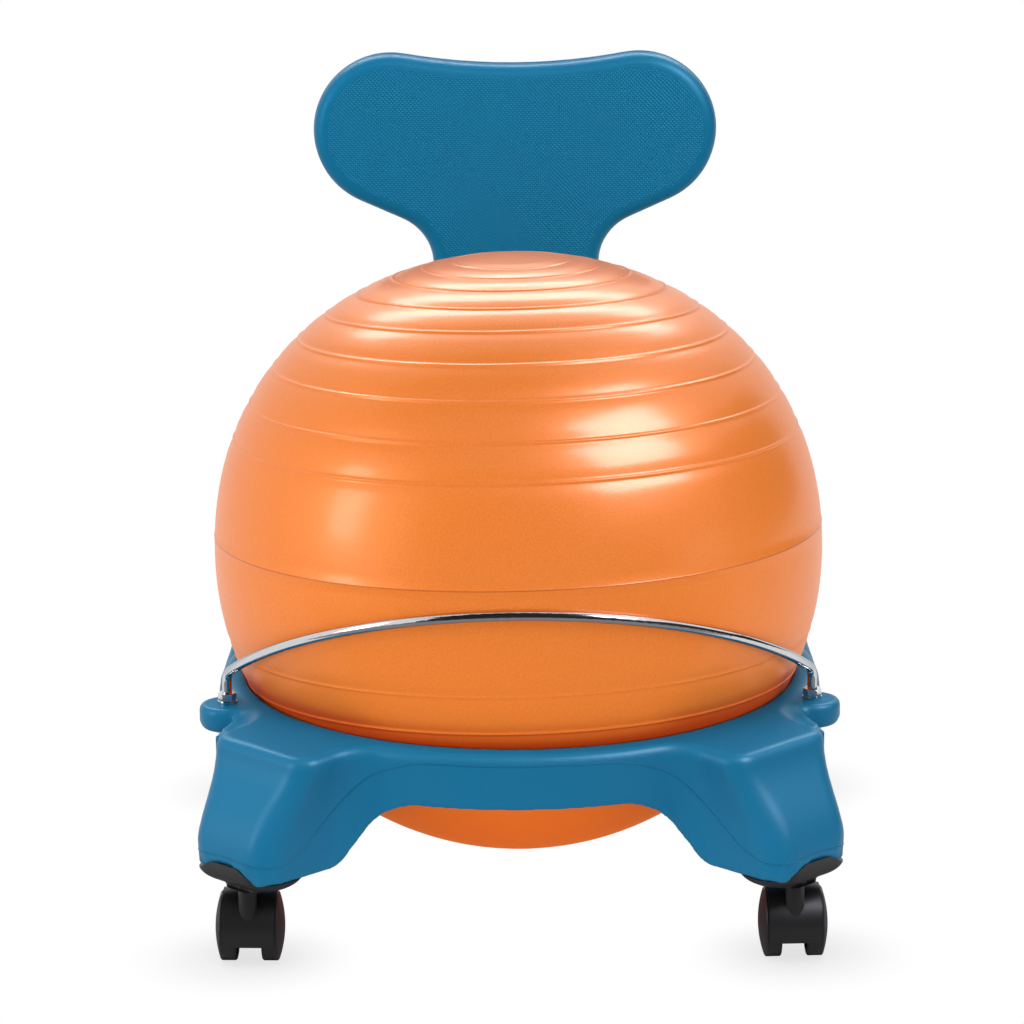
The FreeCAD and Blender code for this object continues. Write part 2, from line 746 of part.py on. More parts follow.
def make_plug():
    """Push-in plug: flange, stem and a grip rib."""
    seat = ball_centre + valve_out * (seat_level() + plug_clearance)
    stem = cylinder(valve_bore_radius - plug_clearance, seat - valve_out * plug_length, seat)
    flange = cylinder(plug_flange_radius - plug_clearance, seat, seat + valve_out * plug_flange_height)
    tab = cylinder(
        valve_bore_radius, seat + valve_out * plug_flange_height,
        seat + valve_out * 2 * plug_flange_height)
    core = cylinder(
        valve_bore_radius / 2, seat - valve_out * (plug_length + 1), seat - valve_out * valve_neck_length / 2)
    return stem.fuse([flange, tab]).cut(core).removeSplitter()


# Retaining bar

def bar_front_distance():
    """Bar axis from the ball axis, so that it clears the ball at every height of its rise."""
    return ball_radius + bar_ball_gap + bar_diameter / 2


def bar_bow():
    """Middle line of the bow: seen from above it is a circle round the ball, and it lies in a leaning plane.
    Gives its centre, its front point, its side point, and its right end with the direction there."""
    distance = bar_front_distance()
    sweep = math.radians(bar_sweep)
    slope = (bar_front_height - bar_bend_height) / (distance - distance * math.cos(sweep))
    centre = V(0, 0, bar_front_height - slope * distance)
    front = V(0, -distance, bar_front_height)
    side = V(distance, 0, centre.z)
    end = centre + (front - centre) * math.cos(sweep) + (side - centre) * math.sin(sweep)
    direction = ((side - centre) * math.cos(sweep) - (front - centre) * math.sin(sweep)).normalize()
    return centre, front, side, end, direction


def bar_bend():
    """Right end of the bow, the corner of the bend below it, and the length of bend on each side."""
    centre, front, side, end, direction = bar_bow()
    turn = direction.getAngle(UP * -1)
    reach = bar_bend_radius * math.tan(turn / 2)
    corner = end + direction * reach
    inwards = (UP * -1 - direction).normalize()
    middle = corner + inwards * (bar_bend_radius / math.cos(turn / 2) - bar_bend_radius)
    return end, middle, corner - UP * reach


def bar_foot():
    """Where the right upright end of the bar stands, in plan."""
    return V(bar_bend()[2].x, bar_bend()[2].y)


def mirrored(point):
    return V(-point.x, point.y, point.z)


def make_bar():
    """Round bar: two upright threaded ends and a bow around the front of the ball."""
    centre, front, side = bar_bow()[:3]
    bow_end, bend_middle, bend_start = bar_bend()
    sweep = math.radians(bar_sweep)
    bow = Part.Ellipse(front, side, centre).toShape(-sweep, sweep)
    low = ear_top_height - ear_thickness - small_washer_thickness - small_nut_height - bar_tail
    foot = V(bend_start.x, bend_start.y, low)
    right_upright = Part.makeLine(foot, bend_start)
    right_bend = Part.Arc(bend_start, bend_middle, bow_end).toShape()
    left_bend = Part.Arc(mirrored(bow_end), mirrored(bend_middle), mirrored(bend_start)).toShape()
    left_upright = Part.makeLine(mirrored(bend_start), mirrored(foot))
    path = Part.Wire(Part.__sortEdges__([right_upright, right_bend, bow, left_bend, left_upright]))
    section = Part.Wire([Part.makeCircle(bar_diameter / 2, foot, UP)])
    bar = path.makePipeShell([section], True, True)
    expected = math.pi * (bar_diameter / 2) ** 2 * path.Length
    print("bar length", round(path.Length, 1), "volume ratio", round(bar.Volume / expected, 4))
    return bar


def bar_nut(side, level):
    """Nut above or below the ear, bored for the bar."""
    top = ear_top_height + small_washer_thickness
    bottom = ear_top_height - ear_thickness - small_washer_thickness - small_nut_height
    base = V(side * bar_foot().x, bar_foot().y, top if level == "upper" else bottom)
    nut = hexagon(small_nut_flats, base, UP, small_nut_height)
    chamfer = Part.makeCone(
        small_nut_flats / 2 + small_nut_height, small_nut_flats / 2, small_nut_height, base, UP)
    flipped = Part.makeCone(
        small_nut_flats / 2, small_nut_flats / 2 + small_nut_height, small_nut_height, base, UP)
    nut = nut.common(chamfer.common(flipped).fuse(cylinder(
        small_nut_flats / 2 + 0.4, base, base + UP * small_nut_height)))
    return nut.cut(cylinder(bar_diameter / 2, base - UP, base + UP * (small_nut_height + 1)))


def bar_washer(side, level):
    top = ear_top_height
    bottom = ear_top_height - ear_thickness - small_washer_thickness
    base = V(side * bar_foot().x, bar_foot().y, top if level == "upper" else bottom)
    disc = cylinder(small_washer_radius, base, base + UP * small_washer_thickness)
    hole_radius = bar_diameter / 2 + bar_hole_clearance
    return disc.cut(cylinder(hole_radius, base - UP, base + UP * (small_washer_thickness + 1)))


# Backrest and its bolts, laid out upright

def back_outline(inset, depth):
    """Outline of the backrest: spine, neck, two round lobes and the dipped top edge."""
    lobe = V(lobe_offset, lobe_height)
    radius = lobe_radius - inset
    crown_radius_rise = crown_dip_height - lobe_height
    crown_radius = (lobe_offset ** 2 + crown_radius_rise ** 2 - lobe_radius ** 2)
    crown_radius /= 2 * (lobe_radius - crown_radius_rise)
    crown_centre = V(0, crown_dip_height + crown_radius)
    crown_low = V(0, crown_dip_height - inset)
    to_crown = (crown_centre - lobe).normalize()
    crown_touch = lobe + to_crown * radius
    under = math.radians(lobe_underside_angle)
    lobe_touch = lobe + V(math.sin(under), -math.cos(under)) * radius
    under_direction = V(-math.cos(under), -math.sin(under))
    neck_x = spine_half_width - inset
    corner_reach = (lobe_touch.x - neck_x) / math.cos(under)
    neck_corner = lobe_touch + under_direction * corner_reach
    turn = math.pi / 2 - under
    neck_arc = neck_radius + inset
    reach = neck_arc * math.tan(turn / 2)
    neck_start = neck_corner - under_direction * reach
    neck_end = neck_corner - V(0, reach)
    bisector = (V(0, -1) - under_direction).normalize()
    neck_middle = neck_corner + bisector * (neck_arc / math.cos(turn / 2) - neck_arc)
    bottom = spine_bottom_height + inset
    corner = max(spine_corner_radius - inset, 1.0)
    foot_end = V(neck_x, bottom + corner)
    foot_start = V(neck_x - corner, bottom)
    foot_middle = foot_end + V(-corner + corner * math.cos(math.pi / 4), -corner * math.sin(math.pi / 4))
    lobe_far = lobe + V(radius, 0)
    place = front_plane(depth)
    right = [
        ("line", foot_end, neck_end), ("arc", neck_end, neck_middle, neck_start),
        ("line", neck_start, lobe_touch), ("arc", lobe_touch, lobe_far, crown_touch),
    ]
    edges = [Part.Arc(place(foot_start), place(foot_middle), place(foot_end)).toShape()]
    for kind, *points in right:
        spots = [place(point) for point in points]
        edges.append(Part.makeLine(*spots) if kind == "line" else Part.Arc(*spots).toShape())
    edges.append(Part.Arc(place(crown_touch), place(crown_low), place(mirrored(crown_touch))).toShape())
    for kind, *points in reversed(right):
        spots = [place(mirrored(point)) for point in reversed(points)]
        edges.append(Part.makeLine(*spots) if kind == "line" else Part.Arc(*spots).toShape())
    left_foot = [place(mirrored(foot_end)), place(mirrored(foot_middle)), place(mirrored(foot_start))]
    edges.append(Part.Arc(*left_foot).toShape())
    edges.append(Part.makeLine(place(mirrored(foot_start)), place(foot_start)))
    return Part.Wire(edges)


def make_backrest():
    """Hollow panel with rounded edges and two bolt tubes through the foot of its spine."""
    front = ring_radius
    body = prism(back_outline(0, front), BACK * back_thickness)
    outline_edges = []
    for edge in body.Edges:
        if edge.BoundBox.YLength < 1e-3:
            outline_edges.append(edge)
    body = body.makeFillet(back_edge_radius, outline_edges)
    hollow = prism(back_outline(back_wall, front + back_wall), BACK * (back_thickness - 2 * back_wall))
    hollow_edges = []
    for edge in hollow.Edges:
        if edge.BoundBox.YLength < 1e-3:
            hollow_edges.append(edge)
    hollow = hollow.makeFillet(back_edge_radius - back_wall, hollow_edges)
    tubes = []
    holes = []
    for centre in bolt_centres():
        end = centre + BACK * back_thickness
        tubes.append(cylinder(bolt_recess_radius + boss_wall, centre, end))
        holes.append(cylinder(bolt_diameter / 2 + bolt_hole_clearance, centre - BACK, end))
        holes.append(cylinder(bolt_recess_radius, end - BACK * bolt_recess_depth, end + BACK))
    body = body.cut(hollow.cut(tubes)).cut(holes)
    return moved(body, lean_back)


def head_seat(centre):
    """Where the washer lies at the bottom of the recess in the spine."""
    return centre + BACK * (back_thickness - bolt_recess_depth)


def back_washer(centre):
    seat = head_seat(centre)
    disc = cylinder(large_washer_radius, seat, seat + BACK * large_washer_thickness)
    hole_radius = bolt_diameter / 2 + bolt_hole_clearance
    disc = disc.cut(cylinder(hole_radius, seat - BACK, seat + BACK * (large_washer_thickness + 1)))
    return moved(disc, lean_back)


def back_bolt(centre):
    """Button head bolt with a hexagon socket."""
    seat = head_seat(centre) + BACK * large_washer_thickness
    shank_length = back_thickness - bolt_recess_depth + large_washer_thickness + insert_length - 2
    head = cylinder(bolt_head_radius, seat, seat + BACK * bolt_head_height)
    rim = [edge for edge in head.Edges if abs(edge.BoundBox.YMin - seat.y - bolt_head_height) < 1e-6]
    head = head.makeFillet(bolt_head_height / 2, rim)
    shank = cylinder(bolt_diameter / 2, seat - BACK * shank_length, seat)
    key = hexagon(bolt_key_flats, seat + BACK * (bolt_head_height - bolt_key_depth), BACK, bolt_key_depth + 1)
    return moved(head.fuse(shank).cut(key), lean_back)


def back_insert(centre):
    """Threaded insert moulded into the pad of the base."""
    face = centre - BACK * insert_flange_thickness
    sleeve = cylinder(insert_radius, centre - BACK * insert_length, face)
    flange = cylinder(insert_flange_radius, face, centre)
    hole = cylinder(bolt_diameter / 2, centre - BACK * (insert_length + 1), centre + BACK)
    return moved(sleeve.fuse(flange).cut(hole), lean_back)


# Assemble the named pieces

pieces = {}
pieces["base_shell"] = make_base()
pieces["backrest_shell"] = make_backrest()
pieces["backrest_bolts"] = Part.makeCompound([back_bolt(centre) for centre in bolt_centres()])
pieces["backrest_washers"] = Part.makeCompound([back_washer(centre) for centre in bolt_centres()])
pieces["backrest_inserts"] = Part.makeCompound([back_insert(centre) for centre in bolt_centres()])
pieces["support_bar"] = make_bar()
pieces["bar_upper_nuts"] = Part.makeCompound([bar_nut(side, "upper") for side in (-1, 1)])
pieces["bar_lower_nuts"] = Part.makeCompound([bar_nut(side, "lower") for side in (-1, 1)])
pieces["bar_upper_washers"] = Part.makeCompound([bar_washer(side, "upper") for side in (-1, 1)])
pieces["bar_lower_washers"] = Part.makeCompound([bar_washer(side, "lower") for side in (-1, 1)])
pieces["ball_shell"] = make_ball()
pieces["valve_plug"] = make_plug()

cap = make_cap()
stem = make_stem()
grip_ring = make_grip_ring()
hood = make_hood()
axle = make_axle()
right_wheel = make_wheel()
left_wheel = moved(right_wheel, rotation(UP, 180, at_axle()))
for corner, angle in leg_angles.items():
    pieces["leg_cap_" + corner] = moved(cap, rotation(UP, angle))
    stem_spot = V(stem_distance, 0, 0)
    leg_turn = rotation(UP, angle)
    spot = leg_turn.multVec(stem_spot)
    toe = caster_toe if spot.x > 0 else -caster_toe
    place = FreeCAD.Placement(spot, FreeCAD.Rotation(UP, toe)).toMatrix()
    outer_wheel, inner_wheel = (right_wheel, left_wheel) if spot.x > 0 else (left_wheel, right_wheel)
    pieces["caster_stem_" + corner] = moved(stem, place)
    pieces["grip_ring_" + corner] = moved(grip_ring, place)
    pieces["caster_hood_" + corner] = moved(hood, place)
    pieces["axle_" + corner] = moved(axle, place)
    pieces["outer_wheel_" + corner] = moved(outer_wheel, place)
    pieces["inner_wheel_" + corner] = moved(inner_wheel, place)

# The origin is the middle of the footprint
whole = Part.makeCompound([pieces["base_shell"], pieces["backrest_shell"]])
box = whole.optimalBoundingBox(False, False)
shift = -(box.YMin + box.YMax) / 2
print("ball axis at y", round(shift, 3), "footprint", round(box.XLength, 1), round(box.YLength, 1))

os.makedirs("parts", exist_ok=True)
for name, shape in pieces.items():
    shape.translate(V(0, shift, 0))
    shape.exportStep("parts/" + name + ".step")
    solids = len(shape.Solids)
    print(name, "solids", solids, "valid", shape.isValid(), "volume", round(shape.Volume / 1000, 2), "cm3")
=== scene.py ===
import math

import bmesh
import bpy
import numpy as np
from mathutils import Matrix, Vector


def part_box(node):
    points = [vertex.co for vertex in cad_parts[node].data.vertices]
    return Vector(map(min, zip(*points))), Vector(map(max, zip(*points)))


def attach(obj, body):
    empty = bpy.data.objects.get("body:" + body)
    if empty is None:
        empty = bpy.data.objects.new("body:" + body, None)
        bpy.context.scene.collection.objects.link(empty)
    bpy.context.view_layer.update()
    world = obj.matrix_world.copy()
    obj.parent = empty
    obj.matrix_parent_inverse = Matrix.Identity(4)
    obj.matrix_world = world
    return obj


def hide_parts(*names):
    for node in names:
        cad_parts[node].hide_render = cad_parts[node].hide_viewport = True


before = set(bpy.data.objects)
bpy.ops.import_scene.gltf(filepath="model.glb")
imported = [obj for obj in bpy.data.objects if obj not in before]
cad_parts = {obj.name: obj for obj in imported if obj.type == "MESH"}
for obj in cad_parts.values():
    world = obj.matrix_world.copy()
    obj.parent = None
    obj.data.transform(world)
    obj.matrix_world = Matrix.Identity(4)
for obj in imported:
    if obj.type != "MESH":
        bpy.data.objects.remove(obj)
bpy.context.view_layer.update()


# Base shell. One hollow blow moulding of blue polyethylene: a ring that holds the ball, four legs, two
# ears for the bar and a pad for the backrest. Its skin is the outside of the moulding, with every edge
# drawn round as hot plastic blown into a mould leaves it.
ball_low, ball_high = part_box("ball_shell")
axis_y = (ball_low.y + ball_high.y) / 2
corner_angles = {"front_left": 225, "front_right": 315, "rear_left": 135, "rear_right": 45}
skin_voxel = 0.0020
skin_passes, last_passes = 8, 3
foot_level = 0.0615
# The sole that closes each foot over its cap, and the rim at the foot's tip: distance along the leg
# from the ball's axis, rise over the foot's level, and size along, across and up
sole_reach, sole_rise = 0.2325, 0.0026
sole_size = (0.040, 0.058, 0.005)
rim_reach, rim_rise = 0.2490, 0.006
rim_size = (0.006, 0.056, 0.014)
# The web between an ear and the shoulder of the front leg beside it: distance to the side of the
# ball's axis, distance ahead of it and height. It reaches down to its foot, and the hollow corner where
# it meets the leg is rounded out.
ear_web = [
    (0.158, 0.072, 0.1375), (0.1675, 0.072, 0.1375), (0.1690, 0.088, 0.1375), (0.1730, 0.098, 0.1355),
    (0.1790, 0.108, 0.1335), (0.1875, 0.1205, 0.1332), (0.160, 0.104, 0.1335),
]
web_foot = 0.092
web_corner = (0.172, 0.091, 0.130)
web_reach, web_passes = 0.020, 24
# The upright edges of each leg and the lower corners of its tip, worn rounder than the rest
leg_edge = (0.2385, 0.0385, 0.100)
leg_edge_reach, leg_edge_passes = (0.022, 0.020, 0.034), 30
tip_corner = (0.2500, 0.02849, 0.065)
tip_corner_reach, tip_corner_passes = (0.016, 0.014, 0.015), 40


def solid_copy(node):
    """A merged copy of a CAD node's mesh, as a bmesh."""
    mesh = bmesh.new()
    mesh.from_mesh(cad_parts[node].data)
    bmesh.ops.remove_doubles(mesh, verts=mesh.verts, dist=1e-6)
    return mesh


def add_block(mesh, angle, middle, size):
    """A block in a leg, placed by its distance from the ball's axis, its side offset and its height."""
    turn = Matrix.Rotation(math.radians(angle), 4, "Z")
    place = Matrix.Translation((0, axis_y, 0)) @ turn @ Matrix.Translation(middle)
    bmesh.ops.create_cube(mesh, size=1.0, matrix=place @ Matrix.Diagonal((*size, 1)))


def add_web(mesh, side):
    """The web beside an ear, on the right (1) or the left (-1)."""
    corners = []
    for across, ahead, top in ear_web:
        for level in (web_foot, top):
            corners.append(mesh.verts.new((side * across, axis_y - ahead, level)))
    bmesh.ops.convex_hull(mesh, input=corners)


def new_object(name, data):
    """A new object in the scene."""
    made = bpy.data.objects.new(name, data)
    bpy.context.scene.collection.objects.link(made)
    return made


def plain_mesh(holder):
    """The mesh that an object's modifiers make. The object itself goes."""
    bpy.context.view_layer.update()
    made = bpy.data.meshes.new_from_object(holder.evaluated_get(bpy.context.evaluated_depsgraph_get()))
    bpy.data.objects.remove(holder)
    return made


def outer_skin(mesh, voxel):
    """Remesh a closed body evenly and keep its outside, without the hollow."""
    data = bpy.data.meshes.new("skin")
    mesh.to_mesh(data)
    mesh.free()
    body = new_object("skin", data)
    remesh = body.modifiers.new("even", "REMESH")
    remesh.mode = "VOXEL"
    remesh.voxel_size = voxel
    even = plain_mesh(body)
    mesh = bmesh.new()
    mesh.from_mesh(even)
    unseen = set(mesh.verts)
    islands = []
    while unseen:
        stack = [unseen.pop()]
        island = list(stack)
        while stack:
            for edge in stack.pop().link_edges:
                for vertex in edge.verts:
                    if vertex in unseen:
                        unseen.remove(vertex)
                        stack.append(vertex)
                        island.append(vertex)
        islands.append(island)
    islands.sort(key=len, reverse=True)
    inner = [vertex for island in islands[1:] for vertex in island]
    bmesh.ops.delete(mesh, geom=inner, context="VERTS")
    mesh.to_mesh(even)
    mesh.free()
    return even


class Smoother:
    """Moves a mesh's points towards the mean of their neighbours."""

    def __init__(self, data):
        self.data = data
        points = np.empty(len(data.vertices) * 3)
        data.vertices.foreach_get("co", points)
        self.points = points.reshape(-1, 3)
        ends = np.empty(len(data.edges) * 2, dtype=np.int64)
        data.edges.foreach_get("vertices", ends)
        self.first, self.second = ends[0::2], ends[1::2]
        self.count = np.bincount(ends, minlength=len(self.points))[:, None]

    def pull(self):
        """Step from each point to the mean of its neighbours."""
        total = np.empty_like(self.points)
        for axis in range(3):
            total[:, axis] = np.bincount(self.first, self.points[self.second, axis], len(total))
            total[:, axis] += np.bincount(self.second, self.points[self.first, axis], len(total))
        return total / self.count - self.points

    def keep(self):
        """Write the points back to the mesh."""
        self.data.vertices.foreach_set("co", self.points.ravel())
        self.data.update()

    def soften(self, passes, strength=0.55, growth=0.1):
        """Smooth without shrinking: each step in is followed by a slightly longer step out."""
        for step in range(2 * passes):
            share = strength if step % 2 == 0 else -strength / (1 - growth * strength)
            self.points = self.points + share * self.pull()
        self.keep()

    def round_edges(self, spots, reach, passes, fade=1.8, strength=0.6):
        """Wear edges rounder round some spots, each given by its turn about the ball's axis and its
        middle. The wear fades with the distance, as a share of the reach along, across and up."""
        weight = np.zeros(len(self.points))
        for angle, *middle in spots:
            along = np.array((math.cos(angle), math.sin(angle)))
            flat = self.points[:, :2] - np.array((0, axis_y))
            local = np.column_stack((flat @ along, flat @ np.array((-along[1], along[0])), self.points[:, 2]))
            away = np.linalg.norm((local - np.array(middle)) / np.array(reach), axis=1)
            weight = np.maximum(weight, np.clip(fade * (1 - away), 0, 1))
        for step in range(passes):
            self.points = self.points + strength * weight[:, None] * self.pull()
        self.keep()

    def fill_corners(self, spots, reach, passes, fade=1.6):
        """Round out hollow corners near some spots, as a generous mould radius does."""
        weight = np.zeros(len(self.points))
        for spot in spots:
            distance = np.linalg.norm(self.points - np.array(spot), axis=1)
            weight = np.maximum(weight, np.clip(fade * (1 - distance / reach), 0, 1))
        near = np.nonzero(weight)[0]
        normals = np.empty(len(self.points) * 3)
        for step in range(passes):
            self.keep()
            self.data.vertices.foreach_get("normal", normals)
            ways = normals.reshape(-1, 3)[near]
            rise = np.sum(self.pull()[near] * ways, axis=1)
            self.points[near] += ways * (weight[near] * np.maximum(rise, 0))[:, None]
        self.keep()


def piece(name, data, body, material, slot, *nodes):
    """A finished piece that rides on a body and stands for CAD nodes."""
    made = new_object(name, data)
    data.materials.clear()
    data.materials.append(material)
    data.shade_smooth()
    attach(made, body)
    if nodes:
        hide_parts(*nodes)
    return made


def colour(red, green, blue):
    """A colour as it shows on a screen, 0 to 255, turned into the linear values that a shader takes."""
    made = []
    for value in (red, green, blue):
        share = value / 255
        made.append(share / 12.92 if share <= 0.04045 else ((share + 0.055) / 1.055) ** 2.4)
    return (*made, 1.0)


def new_material(name, values):
    """A material with its node tree and its shader, some of whose inputs get plain values."""
    material = bpy.data.materials.new(name)
    material.use_nodes = True
    shader = material.node_tree.nodes["Principled BSDF"]
    for entry, value in values.items():
        shader.inputs[entry].default_value = value
    return material, material.node_tree, shader


def add(tree, kind, inputs=None, **settings):
    """Add a node with its settings and input values. A Mix node's colours are its inputs 6 and 7 and its
    output 2."""
    made = tree.nodes.new(kind)
    for name, value in settings.items():
        setattr(made, name, value)
    for name, value in (inputs or {}).items():
        made.inputs[name].default_value = value
    return made


def wire(tree, source, output, target, entry):
    """Link a node's output to another node's input."""
    tree.links.new(source.outputs[output], target.inputs[entry])


def open_sockets(tree, way, sockets):
    """Name a tree's inputs or outputs, each with its kind and perhaps a first value."""
    for name, (kind, *value) in sockets.items():
        socket = tree.interface.new_socket(name, in_out=way, socket_type="NodeSocket" + kind)
        if value:
            socket.default_value = value[0]


def make_moulded_grain():
    """Group: the fine grain, slow unevenness and light scuffs of a moulded plastic."""
    tree = bpy.data.node_groups.new("moulded_grain", "ShaderNodeTree")
    open_sockets(tree, "INPUT", {
        "Base": ("Color", (0.5, 0.5, 0.5, 1)), "Worn": ("Color", (0.7, 0.7, 0.7, 1)),
        "Grain Size": ("Float", 900.0), "Roughness": ("Float", 0.4), "Scuffs": ("Float", 0.3)})
    open_sockets(tree, "OUTPUT", {"Color": ("Color",), "Roughness": ("Float",), "Height": ("Float",)})
    inside = add(tree, "NodeGroupInput")
    outside = add(tree, "NodeGroupOutput")
    place = add(tree, "ShaderNodeTexCoord")
    slow = add(tree, "ShaderNodeTexNoise", {"Scale": 14.0, "Detail": 3.0})
    grain = add(tree, "ShaderNodeTexNoise", {"Detail": 2.0})
    stretch = add(tree, "ShaderNodeMapping", {"Scale": (0.25, 1.0, 2.2)})
    scuff = add(tree, "ShaderNodeTexNoise", {"Scale": 120.0, "Detail": 6.0, "Roughness": 0.7})
    marks = add(tree, "ShaderNodeMapRange", {"From Min": 0.60, "From Max": 0.80})
    amount = add(tree, "ShaderNodeMath", operation="MULTIPLY")
    mix = add(tree, "ShaderNodeMix", data_type="RGBA")
    spread = add(tree, "ShaderNodeMapRange", {"To Min": -0.05, "To Max": 0.05})
    rough = add(tree, "ShaderNodeMath", operation="ADD")
    wire(tree, place, "Object", slow, "Vector")
    wire(tree, place, "Object", grain, "Vector")
    wire(tree, place, "Object", stretch, "Vector")
    wire(tree, stretch, "Vector", scuff, "Vector")
    wire(tree, inside, "Grain Size", grain, "Scale")
    wire(tree, scuff, "Fac", marks, "Value")
    wire(tree, marks, "Result", amount, 0)
    wire(tree, inside, "Scuffs", amount, 1)
    wire(tree, amount, "Value", mix, "Factor")
    wire(tree, inside, "Base", mix, 6)
    wire(tree, inside, "Worn", mix, 7)
    wire(tree, mix, 2, outside, "Color")
    wire(tree, slow, "Fac", spread, "Value")
    wire(tree, inside, "Roughness", rough, 0)
    wire(tree, spread, "Result", rough, 1)
    wire(tree, rough, "Value", outside, "Roughness")
    wire(tree, grain, "Fac", outside, "Height")
    return tree


moulded_grain = make_moulded_grain()


def grained_plastic(name, base, worn, grain_size, roughness, scuffs, depth=0.00003, specular=0.5):
    """Moulded plastic: the shared grain feeds one shader."""
    material, tree, shader = new_material(name, {"Specular IOR Level": specular})
    grain = add(tree, "ShaderNodeGroup", {
        "Base": base, "Worn": worn, "Grain Size": grain_size, "Roughness": roughness,
        "Scuffs": scuffs}, node_tree=moulded_grain)
    bump = add(tree, "ShaderNodeBump", {"Distance": depth, "Strength": 0.6})
    wire(tree, grain, "Color", shader, "Base Color")
    wire(tree, grain, "Roughness", shader, "Roughness")
    wire(tree, grain, "Height", bump, "Height")
    wire(tree, bump, "Normal", shader, "Normal")
    return material


blue_plastic = grained_plastic("blue_plastic", colour(8, 114, 158), colour(60, 142, 182),
                               grain_size=700.0, roughness=0.42, scuffs=0.06, specular=0.3)
# The skin shines bluish on faces that look up and on the backrest, and hardly at all where it lies level
# and would mirror the ball.
blue_tree = blue_plastic.node_tree
blue_shader = blue_tree.nodes["Principled BSDF"]
blue_place = add(blue_tree, "ShaderNodeTexCoord")
blue_height = add(blue_tree, "ShaderNodeSeparateXYZ")
blue_facing = add(blue_tree, "ShaderNodeSeparateXYZ")
facing_up = add(blue_tree, "ShaderNodeMapRange", {"From Min": 0.35, "From Max": 0.85})
high_up = add(blue_tree, "ShaderNodeMapRange", {"From Min": 0.15, "From Max": 0.20})
cool = add(blue_tree, "ShaderNodeMath", operation="MAXIMUM")
flat_top = add(blue_tree, "ShaderNodeMapRange",
               {"From Min": 0.93, "From Max": 0.995, "To Min": 0.3, "To Max": 0.05})
sheen_tone = add(blue_tree, "ShaderNodeMix",
                 {6: (0.72, 0.92, 1.0, 1.0), 7: (0.30, 0.82, 1.0, 1.0)}, data_type="RGBA")
wire(blue_tree, blue_place, "Object", blue_height, "Vector")
wire(blue_tree, blue_place, "Normal", blue_facing, "Vector")
wire(blue_tree, blue_facing, "Z", facing_up, "Value")
wire(blue_tree, blue_height, "Z", high_up, "Value")
wire(blue_tree, blue_facing, "Z", flat_top, "Value")
wire(blue_tree, flat_top, "Result", blue_shader, "Specular IOR Level")
wire(blue_tree, facing_up, "Result", cool, 0)
wire(blue_tree, high_up, "Result", cool, 1)
wire(blue_tree, cool, "Value", sheen_tone, "Factor")
wire(blue_tree, sheen_tone, 2, blue_shader, "Specular Tint")

base_body = solid_copy("base_shell")
for angle in corner_angles.values():
    add_block(base_body, angle, (sole_reach, 0, foot_level + sole_rise), sole_size)
    add_block(base_body, angle, (rim_reach, 0, foot_level + rim_rise), rim_size)
add_web(base_body, 1)
add_web(base_body, -1)
base_data = outer_skin(base_body, skin_voxel)
base_smoother = Smoother(base_data)
base_smoother.soften(skin_passes)
edge_spots = []
tip_spots = []
for angle in corner_angles.values():
    turn = math.radians(angle)
    for side in (-1, 1):
        edge_spots.append((turn, leg_edge[0], side * leg_edge[1], leg_edge[2]))
        faces_sideways = side * math.sin(2 * turn) < 0
        if faces_sideways:
            tip_spots.append((turn, tip_corner[0], side * tip_corner[1], tip_corner[2]))
base_smoother.round_edges(edge_spots, leg_edge_reach, leg_edge_passes)
base_smoother.round_edges(tip_spots, tip_corner_reach, tip_corner_passes)
web_spots = [(side * web_corner[0], axis_y - web_corner[1], web_corner[2]) for side in (-1, 1)]
base_smoother.fill_corners(web_spots, web_reach, web_passes)
base_smoother.soften(last_passes)
base_skin = piece("base_skin", base_data, "chair", blue_plastic, "blue_plastic", "base_shell")


# Parting line of the base. The two halves of the mould leave a fine bead where they meet: level across
# the front of the ring, down the sides of the legs and round their ends.
bead_radius = 0.00032
bead_spacing = 0.0015
# Half of the line on one leg, from the middle of the arch: distance along the leg, side offset, height
line_points = [
    (0.1330, 0.1330, 0.1330), (0.1580, 0.1030, 0.1330), (0.1700, 0.0800, 0.1318), (0.1790, 0.0580, 0.1240),
    (0.1860, 0.0460, 0.1145), (0.1990, 0.0370, 0.0985), (0.2220, 0.0351, 0.0805), (0.2430, 0.0335, 0.0730),
    (0.2544, 0.0140, 0.0743), (0.2544, 0.0, 0.0750),
]


def start_tree(name, inputs):
    """A geometry tree with named inputs, besides the mesh that it starts from and its material."""
    tree = bpy.data.node_groups.new(name, "GeometryNodeTree")
    open_sockets(tree, "INPUT", {"Geometry": ("Geometry",), **inputs, "Material": ("Material",)})
    open_sockets(tree, "OUTPUT", {"Geometry": ("Geometry",)})
    return tree, add(tree, "NodeGroupInput")


def end_tree(tree, inside, source, output):
    """End a geometry tree in plain geometry that has its material."""
    plain = add(tree, "GeometryNodeRealizeInstances")
    finish = add(tree, "GeometryNodeSetMaterial")
    outside = add(tree, "NodeGroupOutput")
    wire(tree, source, output, plain, "Geometry")
    wire(tree, plain, "Geometry", finish, "Geometry")
    wire(tree, inside, "Material", finish, "Material")
    wire(tree, finish, "Geometry", outside, "Geometry")


